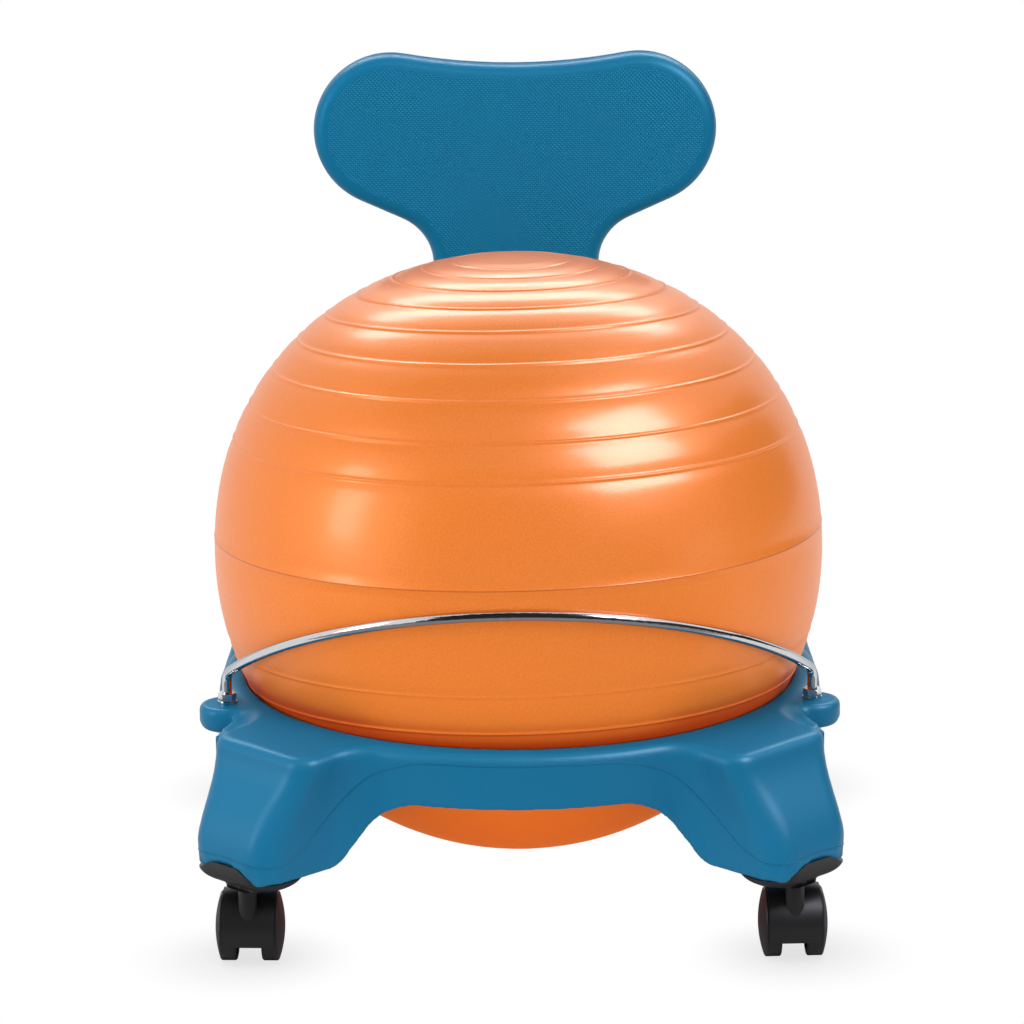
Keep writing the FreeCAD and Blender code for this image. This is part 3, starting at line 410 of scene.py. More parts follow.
def make_bead_tree():
    """Node tree: a fine bead that follows a path over a skin."""
    tree, inside = start_tree("moulding_bead", {
        "Skin": ("Object",), "Spacing": ("Float", 0.0015), "Bead Radius": ("Float", 0.0003)})
    path = add(tree, "GeometryNodeMeshToCurve")
    smooth = add(tree, "GeometryNodeCurveSplineType", spline_type="CATMULL_ROM")
    finer = add(tree, "GeometryNodeSetSplineResolution", {"Resolution": 24})
    even = add(tree, "GeometryNodeResampleCurve", mode="LENGTH")
    skin = add(tree, "GeometryNodeObjectInfo")
    nearest = add(tree, "GeometryNodeProximity", target_element="FACES")
    lay = add(tree, "GeometryNodeSetPosition")
    ring = add(tree, "GeometryNodeCurvePrimitiveCircle", {"Resolution": 8})
    sweep = add(tree, "GeometryNodeCurveToMesh")
    wire(tree, inside, "Geometry", path, "Mesh")
    wire(tree, path, "Curve", smooth, "Curve")
    wire(tree, smooth, "Curve", finer, "Geometry")
    wire(tree, finer, "Geometry", even, "Curve")
    wire(tree, inside, "Spacing", even, "Length")
    wire(tree, inside, "Skin", skin, "Object")
    wire(tree, skin, "Geometry", nearest, 0)
    wire(tree, even, "Curve", lay, "Geometry")
    wire(tree, nearest, "Position", lay, "Position")
    wire(tree, inside, "Bead Radius", ring, "Radius")
    wire(tree, lay, "Geometry", sweep, "Curve")
    wire(tree, ring, "Curve", sweep, "Profile Curve")
    end_tree(tree, inside, sweep, "Mesh")
    return tree


def grow(name, start, tree, **inputs):
    """Run a node tree on a start mesh and keep the result as a plain mesh."""
    holder = new_object(name, start)
    modifier = holder.modifiers.new(name, "NODES")
    modifier.node_group = tree
    for socket in tree.interface.items_tree:
        key = socket.name.replace(" ", "_").lower()
        if socket.in_out == "INPUT" and key in inputs:
            modifier[socket.identifier] = inputs[key]
    return plain_mesh(holder)


def closed_path(points):
    """A closed line of points as a mesh."""
    data = bpy.data.meshes.new("path")
    edges = [(index, (index + 1) % len(points)) for index in range(len(points))]
    data.from_pydata([tuple(point) for point in points], edges, [])
    return data


bead_tree = make_bead_tree()


def add_parting_line(name, path, skin):
    """A bead along a path over a blue skin."""
    data = grow(name, path, bead_tree, skin=skin, spacing=bead_spacing, bead_radius=bead_radius,
                material=blue_plastic)
    piece(name, data, "chair", blue_plastic, "blue_plastic")


round_the_base = []
for angle in sorted(corner_angles.values()):
    turn = Matrix.Rotation(math.radians(angle), 3, "Z")
    there = [Vector((along, -across, up)) for along, across, up in line_points[:-1]]
    back = [Vector((along, across, up)) for along, across, up in reversed(line_points[1:])]
    round_the_base += [turn @ spot + Vector((0, axis_y, 0)) for spot in there + back]
add_parting_line("base_parting_line", closed_path(round_the_base), base_skin)


# Leg caps. Four black nylon caps snap into the feet of the legs and carry the caster sockets.
# They stay as drawn, with the matt grain of a spark-eroded mould.
black_plastic = grained_plastic("black_plastic", colour(33, 33, 35), colour(70, 72, 78),
                                grain_size=1100.0, roughness=0.44, scuffs=0.12)


def dress(node, material):
    """Give a CAD node its finish."""
    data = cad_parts[node].data
    if not data.materials:
        data.materials.append(material)
    for index in range(len(data.materials)):
        data.materials[index] = material


for corner in corner_angles:
    dress("leg_cap_" + corner, black_plastic)


# Casters. Forks of black nylon over twin wheels of harder black nylon, polished by the floor on their
# treads. The fork turns on the steel stem in the cap, and the wheels turn on a pressed axle.
hood_plastic = grained_plastic("hood_plastic", colour(28, 28, 29), colour(58, 60, 64),
                               grain_size=1100.0, roughness=0.38, scuffs=0.12, depth=0.00002)
wheel_plastic = grained_plastic("wheel_plastic", colour(32, 33, 35), colour(62, 66, 70), grain_size=500.0,
                                roughness=0.34, scuffs=0.25, depth=0.00002, specular=0.35)
for corner in corner_angles:
    dress("caster_hood_" + corner, hood_plastic)
    dress("outer_wheel_" + corner, wheel_plastic)
    dress("inner_wheel_" + corner, wheel_plastic)


# Ball. An inflated ball of pearly orange vinyl, cast in a turning mould, with raised rings for grip and
# a fine parting line round its middle. The wall swells a little between the rings, and the pole leans
# back and to the left. It sits in the ring of the base by its own weight.
ball_centre = Vector((0, axis_y, 0.2193))
ball_radius = 0.190
crown_rise = 0.1823
fullness = 2.14
side_lean = math.radians(-1.06)
# Each ring: its angle from the pole and the pole's backward lean there, in degrees, the height of its
# bead and the depth of the hollow on both sides of it
ball_rings = [
    (11.5, 6.3, 0.8, 0.7), (17.3, 6.3, 0.9, 0.8), (23.4, 6.6, 1.0, 0.9), (30.9, 7.3, 1.0, 1.0),
    (38.0, 7.2, 1.0, 1.0), (44.8, 5.4, 1.0, 1.0), (51.8, 4.3, 1.0, 1.0), (59.8, 3.9, 1.0, 1.0),
    (67.1, 3.6, 1.0, 1.0), (85.9, 3.1, 0.45, 0.0), (106.6, 3.3, 0.7, 0.7), (114.4, 3.0, 1.0, 0.9),
]
bead_half_width = 0.0015
seam_half_width = 0.0006
hollow_reach = 0.0052
ring_height = 0.00075
unevenness = 0.0003
# Rows of the mesh, all round and from pole to pole, and the finer ones on both sides of a ring
columns = 288
plain_rows = 84
cut_offsets = (0.0005, 0.0010, 0.0015, 0.0023, 0.0036, 0.0056, 0.0082)
seam_offsets = (0.0003, 0.0006)
# Angles that a plain row keeps from a ring's rows, and that any row keeps from the next
ring_clearance = 0.006
row_clearance = 0.001


def ring_profile(angle):
    """Height of the skin over the plain ball at an angle from the pole, as a share of the ring height."""
    height = 0.0
    for middle, _, bead, hollow in ball_rings:
        away = ball_radius * abs(angle - math.radians(middle))
        half_width = bead_half_width if hollow else seam_half_width
        if away < half_width:
            height += bead * (0.5 + 0.5 * math.cos(math.pi * away / half_width))
        height -= hollow * math.exp(-(away / hollow_reach) ** 2)
    return height


def seam_mark(angle):
    """How near the parting line is at an angle from the pole: 1 on it, 0 away from it."""
    nearest = min(abs(angle - math.radians(ring[0])) for ring in ball_rings if ring[3] == 0.0)
    return max(0.0, 1 - ball_radius * nearest / seam_half_width)


def ball_rows():
    """Angles of the mesh rows from the pole: even, and closer together across each ring."""
    wanted = []
    for middle, _, _, hollow in ball_rings:
        wanted.append(math.radians(middle))
        for offset in cut_offsets if hollow else seam_offsets:
            wanted += [math.radians(middle) + side * offset / ball_radius for side in (-1, 1)]
    plain = [math.pi * step / plain_rows for step in range(1, plain_rows)]
    free = [angle for angle in plain if min(abs(angle - taken) for taken in wanted) > ring_clearance]
    kept = []
    for angle in sorted(wanted + free):
        if not kept or angle - kept[-1] > row_clearance:
            kept.append(angle)
    return kept


def make_ball_tree():
    """Node tree: blow a mesh of unit directions up into the ball, with its raised rings."""
    tree, inside = start_tree("inflated_ball", {
        "Centre": ("Vector",), "Radius": ("Float", 0.19), "Crown Rise": ("Float", 0.18),
        "Fullness": ("Float", 2.1), "Ring Height": ("Float", 0.0008), "Unevenness": ("Float", 0.0001)})
    way = add(tree, "GeometryNodeInputPosition")
    parts = add(tree, "ShaderNodeSeparateXYZ")
    level = add(tree, "ShaderNodeVectorMath", {1: (1, 1, 0)}, operation="MULTIPLY")
    side = add(tree, "ShaderNodeVectorMath", operation="LENGTH")
    side_share = add(tree, "ShaderNodeMath", operation="DIVIDE")
    rise_share = add(tree, "ShaderNodeMath", operation="DIVIDE")
    upwards = add(tree, "ShaderNodeMath", {1: 0.0}, operation="MAXIMUM")
    side_power = add(tree, "ShaderNodeMath", operation="POWER")
    rise_power = add(tree, "ShaderNodeMath", operation="POWER")
    total = add(tree, "ShaderNodeMath", operation="ADD")
    root = add(tree, "ShaderNodeMath", {0: -1.0}, operation="DIVIDE")
    crown = add(tree, "ShaderNodeMath", operation="POWER")
    below = add(tree, "FunctionNodeCompare", operation="LESS_EQUAL")
    reach = add(tree, "GeometryNodeSwitch", input_type="FLOAT")
    bead = add(tree, "GeometryNodeInputNamedAttribute", {"Name": "bead"}, data_type="FLOAT")
    raised = add(tree, "ShaderNodeMath", operation="MULTIPLY_ADD")
    ripple = add(tree, "ShaderNodeTexNoise", {"Scale": 3.0, "Detail": 1.0})
    ripple_middle = add(tree, "ShaderNodeMath", {1: 0.5}, operation="SUBTRACT")
    uneven = add(tree, "ShaderNodeMath", operation="MULTIPLY_ADD")
    blown = add(tree, "ShaderNodeVectorMath", operation="SCALE")
    seated = add(tree, "ShaderNodeVectorMath", operation="ADD")
    lay = add(tree, "GeometryNodeSetPosition")
    wire(tree, way, "Position", parts, "Vector")
    wire(tree, way, "Position", level, 0)
    wire(tree, level, "Vector", side, 0)
    wire(tree, side, "Value", side_share, 0)
    wire(tree, inside, "Radius", side_share, 1)
    wire(tree, parts, "Z", upwards, 0)
    wire(tree, upwards, "Value", rise_share, 0)
    wire(tree, inside, "Crown Rise", rise_share, 1)
    wire(tree, side_share, "Value", side_power, 0)
    wire(tree, inside, "Fullness", side_power, 1)
    wire(tree, rise_share, "Value", rise_power, 0)
    wire(tree, inside, "Fullness", rise_power, 1)
    wire(tree, side_power, "Value", total, 0)
    wire(tree, rise_power, "Value", total, 1)
    wire(tree, inside, "Fullness", root, 1)
    wire(tree, total, "Value", crown, 0)
    wire(tree, root, "Value", crown, 1)
    wire(tree, parts, "Z", below, 0)
    wire(tree, below, "Result", reach, "Switch")
    wire(tree, crown, "Value", reach, "False")
    wire(tree, inside, "Radius", reach, "True")
    wire(tree, bead, "Attribute", raised, 0)
    wire(tree, inside, "Ring Height", raised, 1)
    wire(tree, reach, "Output", raised, 2)
    wire(tree, way, "Position", ripple, "Vector")
    wire(tree, ripple, "Fac", ripple_middle, 0)
    wire(tree, ripple_middle, "Value", uneven, 0)
    wire(tree, inside, "Unevenness", uneven, 1)
    wire(tree, raised, "Value", uneven, 2)
    wire(tree, way, "Position", blown, 0)
    wire(tree, uneven, "Value", blown, "Scale")
    wire(tree, blown, "Vector", seated, 0)
    wire(tree, inside, "Centre", seated, 1)
    wire(tree, inside, "Geometry", lay, "Geometry")
    wire(tree, seated, "Vector", lay, "Position")
    end_tree(tree, inside, lay, "Geometry")
    return tree


rows = ball_rows()
ring_angles = [math.radians(ring[0]) for ring in ball_rings]
ring_leans = [math.radians(ring[1]) for ring in ball_rings]
directions = []
beads = []
seams = []
for angle in [0.0, *rows, math.pi]:
    lean = Matrix.Rotation(-np.interp(angle, ring_angles, ring_leans), 3, "X")
    lean = Matrix.Rotation(side_lean, 3, "Y") @ lean
    around = columns if 0.0 < angle < math.pi else 1
    for column in range(around):
        turn = 2 * math.pi * column / columns
        flat = Vector((math.cos(turn), math.sin(turn), 0)) * math.sin(angle)
        directions.append(lean @ (flat + Vector((0, 0, math.cos(angle)))))
        beads.append(ring_profile(angle))
        seams.append(seam_mark(angle))
ball_faces = []
for row in range(len(rows) - 1):
    for column in range(columns):
        near = 1 + row * columns + column
        beside = 1 + row * columns + (column + 1) % columns
        ball_faces.append((near, near + columns, beside + columns, beside))
bottom = len(directions) - 1
last = bottom - columns
for column in range(columns):
    beside = (column + 1) % columns
    ball_faces.append((0, 1 + column, 1 + beside))
    ball_faces.append((bottom, last + beside, last + column))
ball_start = bpy.data.meshes.new("ball_directions")
ball_start.from_pydata([tuple(way) for way in directions], [], ball_faces)
ball_start.attributes.new("bead", "FLOAT", "POINT").data.foreach_set("value", beads)
ball_start.attributes.new("seam", "FLOAT", "POINT").data.foreach_set("value", seams)

ball_vinyl, vinyl, vinyl_shader = new_material("ball_vinyl", {
    "Metallic": 0.08, "Specular IOR Level": 0.2, "Coat Roughness": 0.20, "Coat IOR": 1.5,
    "Sheen Weight": 0.30, "Sheen Roughness": 0.4, "Sheen Tint": colour(255, 150, 70)})
vinyl_place = add(vinyl, "ShaderNodeTexCoord")
pearl = add(vinyl, "ShaderNodeTexNoise", {"Scale": 950.0, "Detail": 2.0})
cloud = add(vinyl, "ShaderNodeTexNoise", {"Scale": 9.0, "Detail": 3.0})
speckle = add(vinyl, "ShaderNodeValToRGB")
speckle.color_ramp.elements[0].position = 0.30
speckle.color_ramp.elements[0].color = colour(228, 120, 38)
speckle.color_ramp.elements[1].position = 0.72
speckle.color_ramp.elements[1].color = colour(236, 130, 48)
heights = add(vinyl, "ShaderNodeSeparateXYZ")
# Painted shade: the ball is painted a darker, deeper orange towards the bottom.
depth = add(vinyl, "ShaderNodeMapRange", {"From Min": 0.070, "From Max": 0.185},
            interpolation_type="SMOOTHSTEP")
low_painted_shade = add(vinyl, "ShaderNodeMix", {6: colour(231, 107, 10)}, data_type="RGBA")
# Next to its seat, where the ring closes in round it, the ball is painted a deeper orange: painted shade.
# Lower down it has less gloss, and its parting line shows as a fine dark line.
seat_nearness = add(vinyl, "ShaderNodeAmbientOcclusion", {"Distance": 0.022}, samples=12)
seat_share = add(vinyl, "ShaderNodeMapRange",
                 {"From Min": 0.95, "From Max": 0.50, "To Min": 0.0, "To Max": 0.9})
seat_band = add(vinyl, "ShaderNodeMapRange",
                {"From Min": 0.172, "From Max": 0.150, "To Min": 0.0, "To Max": 1.0})
seat_shade_amount = add(vinyl, "ShaderNodeMath", operation="MULTIPLY")
seat_painted_shade = add(vinyl, "ShaderNodeMix", {7: colour(208, 62, 0)}, data_type="RGBA")
seam_line = add(vinyl, "ShaderNodeAttribute", attribute_name="seam")
seam_share = add(vinyl, "ShaderNodeMapRange", {"To Min": 0.0, "To Max": 0.7})
seam_tone = add(vinyl, "ShaderNodeMix", {7: colour(160, 68, 12)}, data_type="RGBA")
gloss_share = add(vinyl, "ShaderNodeMapRange",
                  {"From Min": 0.150, "From Max": 0.215, "To Min": 0.05, "To Max": 0.38},
                  interpolation_type="SMOOTHSTEP")
vinyl_rough = add(vinyl, "ShaderNodeMapRange", {"To Min": 0.36, "To Max": 0.46})
vinyl_bump = add(vinyl, "ShaderNodeBump", {"Distance": 0.00012, "Strength": 0.8})
wire(vinyl, vinyl_place, "Object", pearl, "Vector")
wire(vinyl, vinyl_place, "Object", cloud, "Vector")
wire(vinyl, vinyl_place, "Object", heights, "Vector")
wire(vinyl, pearl, "Fac", speckle, "Fac")
wire(vinyl, heights, "Z", depth, "Value")
wire(vinyl, heights, "Z", gloss_share, "Value")
wire(vinyl, gloss_share, "Result", vinyl_shader, "Coat Weight")
wire(vinyl, depth, "Result", low_painted_shade, "Factor")
wire(vinyl, speckle, "Color", low_painted_shade, 7)
wire(vinyl, seat_nearness, "AO", seat_share, "Value")
wire(vinyl, heights, "Z", seat_band, "Value")
wire(vinyl, seat_share, "Result", seat_shade_amount, 0)
wire(vinyl, seat_band, "Result", seat_shade_amount, 1)
wire(vinyl, seat_shade_amount, "Value", seat_painted_shade, "Factor")
wire(vinyl, low_painted_shade, 2, seat_painted_shade, 6)
wire(vinyl, seam_line, "Fac", seam_share, "Value")
wire(vinyl, seam_share, "Result", seam_tone, "Factor")
wire(vinyl, seat_painted_shade, 2, seam_tone, 6)
wire(vinyl, seam_tone, 2, vinyl_shader, "Base Color")
wire(vinyl, cloud, "Fac", vinyl_rough, "Value")
wire(vinyl, vinyl_rough, "Result", vinyl_shader, "Roughness")
wire(vinyl, pearl, "Fac", vinyl_bump, "Height")
wire(vinyl, vinyl_bump, "Normal", vinyl_shader, "Normal")

ball_data = grow("ball", ball_start, make_ball_tree(), centre=ball_centre, radius=ball_radius,
                 crown_rise=crown_rise, fullness=fullness, ring_height=ring_height,
                 unevenness=unevenness, material=ball_vinyl)
ball_skin = piece("ball_skin", ball_data, "ball", ball_vinyl, "ball_vinyl", "ball_shell")

plug_plastic = grained_plastic("plug_plastic", colour(226, 222, 212), colour(200, 196, 186),
                               grain_size=900.0, roughness=0.4, scuffs=0.2)
dress("valve_plug", plug_plastic)


# Retaining bar. A 6 mm steel bar, bent to the ball and plated bright, with nuts and washers that
# clamp its threaded ends to the ears of the base.
chrome_bar, plating, plate_shader = new_material("chrome_bar", {"Metallic": 1.0})
# Towards its outline the bar is painted darker: a painted reflection of the dark room.
plate_edge = add(plating, "ShaderNodeLayerWeight", {"Blend": 0.5})
plate_rim = add(plating, "ShaderNodeMapRange", {"From Min": 0.55, "From Max": 0.90})
plate_painted_reflection = add(plating, "ShaderNodeMix", {6: colour(205, 207, 210), 7: colour(66, 74, 86)},
                 data_type="RGBA")
wire(plating, plate_edge, "Facing", plate_rim, "Value")
wire(plating, plate_rim, "Result", plate_painted_reflection, "Factor")
wire(plating, plate_painted_reflection, 2, plate_shader, "Base Color")
plate_place = add(plating, "ShaderNodeTexCoord")
haze = add(plating, "ShaderNodeTexNoise", {"Scale": 60.0})
haze_range = add(plating, "ShaderNodeMapRange", {"To Min": 0.06, "To Max": 0.14})
wire(plating, plate_place, "Object", haze, "Vector")
wire(plating, haze, "Fac", haze_range, "Value")
wire(plating, haze_range, "Result", plate_shader, "Roughness")
dress("support_bar", chrome_bar)


def plated_steel(name, dark, light):
    """Plated metal with the faint mottle of its zinc or brass."""
    material, tree, shader = new_material(name, {"Metallic": 1.0})
    place = add(tree, "ShaderNodeTexCoord")
    mottle = add(tree, "ShaderNodeTexNoise", {"Scale": 300.0})
    tone = add(tree, "ShaderNodeValToRGB")
    tone.color_ramp.elements[0].color = dark
    tone.color_ramp.elements[1].color = light
    rough = add(tree, "ShaderNodeMapRange", {"To Min": 0.12, "To Max": 0.26})
    wire(tree, place, "Object", mottle, "Vector")
    wire(tree, mottle, "Fac", tone, "Fac")
    wire(tree, tone, "Color", shader, "Base Color")
    wire(tree, mottle, "Fac", rough, "Value")
    wire(tree, rough, "Result", shader, "Roughness")
    return material


zinc_steel = plated_steel("zinc_steel", colour(196, 198, 202), colour(226, 227, 228))
for node in ("bar_upper_nuts", "bar_lower_nuts", "bar_upper_washers", "bar_lower_washers",
             "backrest_bolts", "backrest_washers"):
    dress(node, zinc_steel)
for corner in corner_angles:
    for kind in ("caster_stem_", "grip_ring_", "axle_"):
        dress(kind + corner, zinc_steel)
insert_brass = plated_steel("insert_brass", colour(176, 140, 70), colour(206, 170, 96))
dress("backrest_inserts", insert_brass)


# Backrest. A second hollow blow moulding, bolted upright to the rear of the ring: a spine and two
# round lobes, with a fine embossed pattern on its front inside a plain border.
back_voxel = 0.0017
back_data = outer_skin(solid_copy("backrest_shell"), back_voxel)
Smoother(back_data).soften(skin_passes)
back_skin = piece("backrest_skin", back_data, "chair", blue_plastic, "blue_plastic", "backrest_shell")

back_low, back_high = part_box("backrest_shell")
back_lean = math.radians(3.0)
back_face = Vector((0, -math.cos(back_lean), math.sin(back_lean)))

# Its parting line runs round the edge, half-way through the thickness.
back_cut = bmesh.new()
back_cut.from_mesh(back_data)
back_middle = (back_low + back_high) / 2
everything = back_cut.verts[:] + back_cut.edges[:] + back_cut.faces[:]
cut = bmesh.ops.bisect_plane(back_cut, geom=everything, plane_co=back_middle, plane_no=back_face)
cut_edges = {item for item in cut["geom_cut"] if isinstance(item, bmesh.types.BMEdge)}
spare_edges = [edge for edge in back_cut.edges if edge not in cut_edges]
bmesh.ops.delete(back_cut, geom=spare_edges, context="EDGES_FACES")
loose = [vertex for vertex in back_cut.verts if not vertex.link_edges]
bmesh.ops.delete(back_cut, geom=loose, context="VERTS")
back_path = bpy.data.meshes.new("back_path")
back_cut.to_mesh(back_path)
back_cut.free()
add_parting_line("backrest_parting_line", back_path, back_skin)

# The embossed field: its pitch, the size of a stud, how closely the skin has to face the front where a
# stud stands, the size of the field, and how far ahead of the skin its grid starts
stud_pitch_across = 0.00255
stud_pitch_up = 0.00265
stud_half_width = 0.00095
stud_height = 0.00022
stud_top_radius = 0.00022
stud_flatness = 0.9985
stud_field_width = 0.250
stud_field_height = 0.300
stud_grid_ahead = 0.05


def make_stud_tree():
    """Node tree: two crossed grids of small pyramids on the flat part of a skin's front."""
    tree, inside = start_tree("embossed_field", {
        "Skin": ("Object",), "Width": ("Float", 0.25), "Height": ("Float", 0.3), "Columns": ("Int", 90),
        "Rows": ("Int", 90), "Middle": ("Vector",), "Half Pitch": ("Vector",), "Face": ("Vector",),
        "Flatness": ("Float", 0.9995), "Stud Half Width": ("Float", 0.001),
        "Stud Height": ("Float", 0.0003), "Stud Top Radius": ("Float", 0.0002)})
    grid = add(tree, "GeometryNodeMeshGrid")
    upright = add(tree, "GeometryNodeTransform", {"Rotation": (math.pi / 2, 0, 0)})
    shifted = add(tree, "GeometryNodeTransform")
    both = add(tree, "GeometryNodeJoinGeometry")
    skin = add(tree, "GeometryNodeObjectInfo")
    ray = add(tree, "GeometryNodeRaycast", {"Ray Direction": (0, 1, 0), "Ray Length": 0.2})
    facing = add(tree, "ShaderNodeVectorMath", operation="DOT_PRODUCT")
    flat = add(tree, "FunctionNodeCompare", operation="GREATER_THAN")
    flat_and_hit = add(tree, "FunctionNodeBooleanMath", operation="AND")
    spare = add(tree, "FunctionNodeBooleanMath", operation="NOT")
    trim = add(tree, "GeometryNodeDeleteGeometry", domain="POINT")
    lay = add(tree, "GeometryNodeSetPosition")
    stud = add(tree, "GeometryNodeMeshCone", {"Vertices": 4})
    aim = add(tree, "FunctionNodeAlignRotationToVector", axis="Z")
    spots = add(tree, "GeometryNodeInstanceOnPoints")
    wire(tree, inside, "Width", grid, "Size X")
    wire(tree, inside, "Height", grid, "Size Y")
    wire(tree, inside, "Columns", grid, "Vertices X")
    wire(tree, inside, "Rows", grid, "Vertices Y")
    wire(tree, grid, "Mesh", upright, "Geometry")
    wire(tree, inside, "Middle", upright, "Translation")
    wire(tree, upright, "Geometry", shifted, "Geometry")
    wire(tree, inside, "Half Pitch", shifted, "Translation")
    wire(tree, upright, "Geometry", both, "Geometry")
    wire(tree, shifted, "Geometry", both, "Geometry")
    wire(tree, inside, "Skin", skin, "Object")
    wire(tree, skin, "Geometry", ray, "Target Geometry")
    wire(tree, ray, "Hit Normal", facing, 0)
    wire(tree, inside, "Face", facing, 1)
    wire(tree, facing, "Value", flat, 0)
    wire(tree, inside, "Flatness", flat, 1)
    wire(tree, flat, "Result", flat_and_hit, 0)
    wire(tree, ray, "Is Hit", flat_and_hit, 1)
    wire(tree, flat_and_hit, "Boolean", spare, 0)
    wire(tree, both, "Geometry", trim, "Geometry")
    wire(tree, spare, "Boolean", trim, "Selection")
    wire(tree, trim, "Geometry", lay, "Geometry")
    wire(tree, ray, "Hit Position", lay, "Position")
    wire(tree, inside, "Stud Half Width", stud, "Radius Bottom")
    wire(tree, inside, "Stud Height", stud, "Depth")
    wire(tree, inside, "Stud Top Radius", stud, "Radius Top")
    wire(tree, inside, "Face", aim, "Vector")
    wire(tree, lay, "Geometry", spots, "Points")
    wire(tree, stud, "Mesh", spots, "Instance")
    wire(tree, aim, "Rotation", spots, "Rotation")
    end_tree(tree, inside, spots, "Instances")
    return tree


stud_columns = round(stud_field_width / stud_pitch_across) + 1
stud_rows = round(stud_field_height / stud_pitch_up) + 1
stud_middle = Vector((0, back_low.y - stud_grid_ahead, back_high.z - stud_field_height / 2))
stud_data = grow(
    "studs", bpy.data.meshes.new("empty"), make_stud_tree(), skin=back_skin,
    width=(stud_columns - 1) * stud_pitch_across, height=(stud_rows - 1) * stud_pitch_up,
    columns=stud_columns, rows=stud_rows, middle=stud_middle,
    half_pitch=Vector((stud_pitch_across / 2, 0, stud_pitch_up / 2)), face=back_face,
    flatness=stud_flatness, stud_half_width=stud_half_width, stud_height=stud_height,
    stud_top_radius=stud_top_radius, material=blue_plastic)
studs = piece("backrest_studs", stud_data, "chair", blue_plastic, "blue_plastic")
stud_data.shade_flat()


# Floor and light. A white sweep, a window of soft light from the upper right, a long strip above the
# back, a tall lamp on the left and dark and grey cards that show only in shiny surfaces. Fill lamps
# light all of the chair, or one of its pieces from the side that the sweep leaves dim.
def picture_rays(tree):
    """A node that gives 1 for a ray that shows the background, from the camera or off a shiny or clear
    surface, and 0 for a ray that only lights."""
    rays = add(tree, "ShaderNodeLightPath")
    camera_or_glossy = add(tree, "ShaderNodeMath", operation="MAXIMUM")
    camera_glossy_or_clear = add(tree, "ShaderNodeMath", operation="MAXIMUM")
    wire(tree, rays, "Is Camera Ray", camera_or_glossy, 0)
    wire(tree, rays, "Is Glossy Ray", camera_or_glossy, 1)
    wire(tree, camera_or_glossy, "Value", camera_glossy_or_clear, 0)
    wire(tree, rays, "Is Transmission Ray", camera_glossy_or_clear, 1)
    return camera_glossy_or_clear


floor_half = 8.0
card_level = 0.002
low_lamp_level = 0.004
# The sweep's glow is painted a little lower in a small pool round each caster's spot: painted shade, in which
# the caster's own shadow shows.
caster_spot = (0.171, 0.171, 0)
floor_material, ground, spare_shader = new_material("floor_white", {})
ground.nodes.remove(spare_shader)
paper = add(ground, "ShaderNodeBsdfDiffuse", {"Color": (0.80, 0.80, 0.80, 1)})
glow = add(ground, "ShaderNodeEmission", {"Strength": 1.0})
floor_place = add(ground, "ShaderNodeTexCoord")
quarter = add(ground, "ShaderNodeVectorMath", operation="ABSOLUTE")
caster_distance = add(ground, "ShaderNodeVectorMath", {1: caster_spot}, operation="DISTANCE")
glow_share = add(ground, "ShaderNodeMapRange",
                 {"From Min": 0.012, "From Max": 0.078, "To Min": 0.74, "To Max": 1.0},
                 interpolation_type="SMOOTHSTEP")
seen = add(ground, "ShaderNodeMath", operation="MULTIPLY")
blend = add(ground, "ShaderNodeMixShader")
wire(ground, floor_place, "Object", quarter, 0)
wire(ground, quarter, "Vector", caster_distance, 0)
wire(ground, caster_distance, "Value", glow_share, "Value")
wire(ground, picture_rays(ground), "Value", seen, 0)
wire(ground, glow_share, "Result", seen, 1)
wire(ground, seen, "Value", blend, "Fac")
wire(ground, paper, "BSDF", blend, 1)
wire(ground, glow, "Emission", blend, 2)
wire(ground, blend, "Shader", ground.nodes["Material Output"], "Surface")


def stage_sheet(name, low, high, material):
    """A level or upright sheet of the studio between two of its corners. It is no part of the chair."""
    along = next(axis for axis in range(3) if low[axis] != high[axis])
    second, fourth = list(low), list(high)
    second[along], fourth[along] = high[along], low[along]
    data = bpy.data.meshes.new(name)
    data.from_pydata([low, second, high, fourth], [], [(0, 1, 2, 3)])
    data.materials.append(material)
    sheet = new_object(name, data)
    return sheet


stage_sheet("floor", (-floor_half, -floor_half, 0), (floor_half, floor_half, 0), floor_material)


def cloth(name, near, far):
    """Matt studio cloth, whose grey goes from a near to a far value between 0.4 and 1.1 m in front."""
    material, tree, shader = new_material(name, {"Roughness": 1.0, "Specular IOR Level": 0.0})
    place = add(tree, "ShaderNodeTexCoord")
    parts = add(tree, "ShaderNodeSeparateXYZ")
    fade = add(tree, "ShaderNodeMapRange", {"From Min": -0.4, "From Max": -1.1},
               interpolation_type="SMOOTHSTEP")
    tone = add(tree, "ShaderNodeMix", {6: (near, near, near, 1), 7: (far, far, far, 1)}, data_type="RGBA")
    wire(tree, place, "Object", parts, "Vector")
    wire(tree, parts, "Y", fade, "Value")
    wire(tree, fade, "Result", tone, "Factor")
    wire(tree, tone, 2, shader, "Base Color")
    return material


grey_cloth = cloth("grey_cloth", 0.38, 0.04)
dark_cloth = cloth("dark_cloth", 0.04, 0.04)
cards = {
    "room_behind_camera": ((-2.2, -2.6, 0), (2.6, -2.6, 2.6), dark_cloth),
    "ceiling": ((-2.2, -2.6, 2.6), (2.6, 0.1, 2.6), dark_cloth),
    "dark_side": ((2.5, -2.5, 0), (2.5, 2.4, 1.5), dark_cloth),
    "floor_in_front": ((-1.3, -2.6, card_level), (2.0, -0.25, card_level), grey_cloth),
    "floor_under": ((-0.30, -0.25, card_level), (0.30, 0.35, card_level), grey_cloth),
}
for name, (low, high, material) in cards.items():
    card = stage_sheet(name, low, high, material)
    card.visible_camera = False
    card.visible_diffuse = False
    card.visible_shadow = False
    card.visible_transmission = False

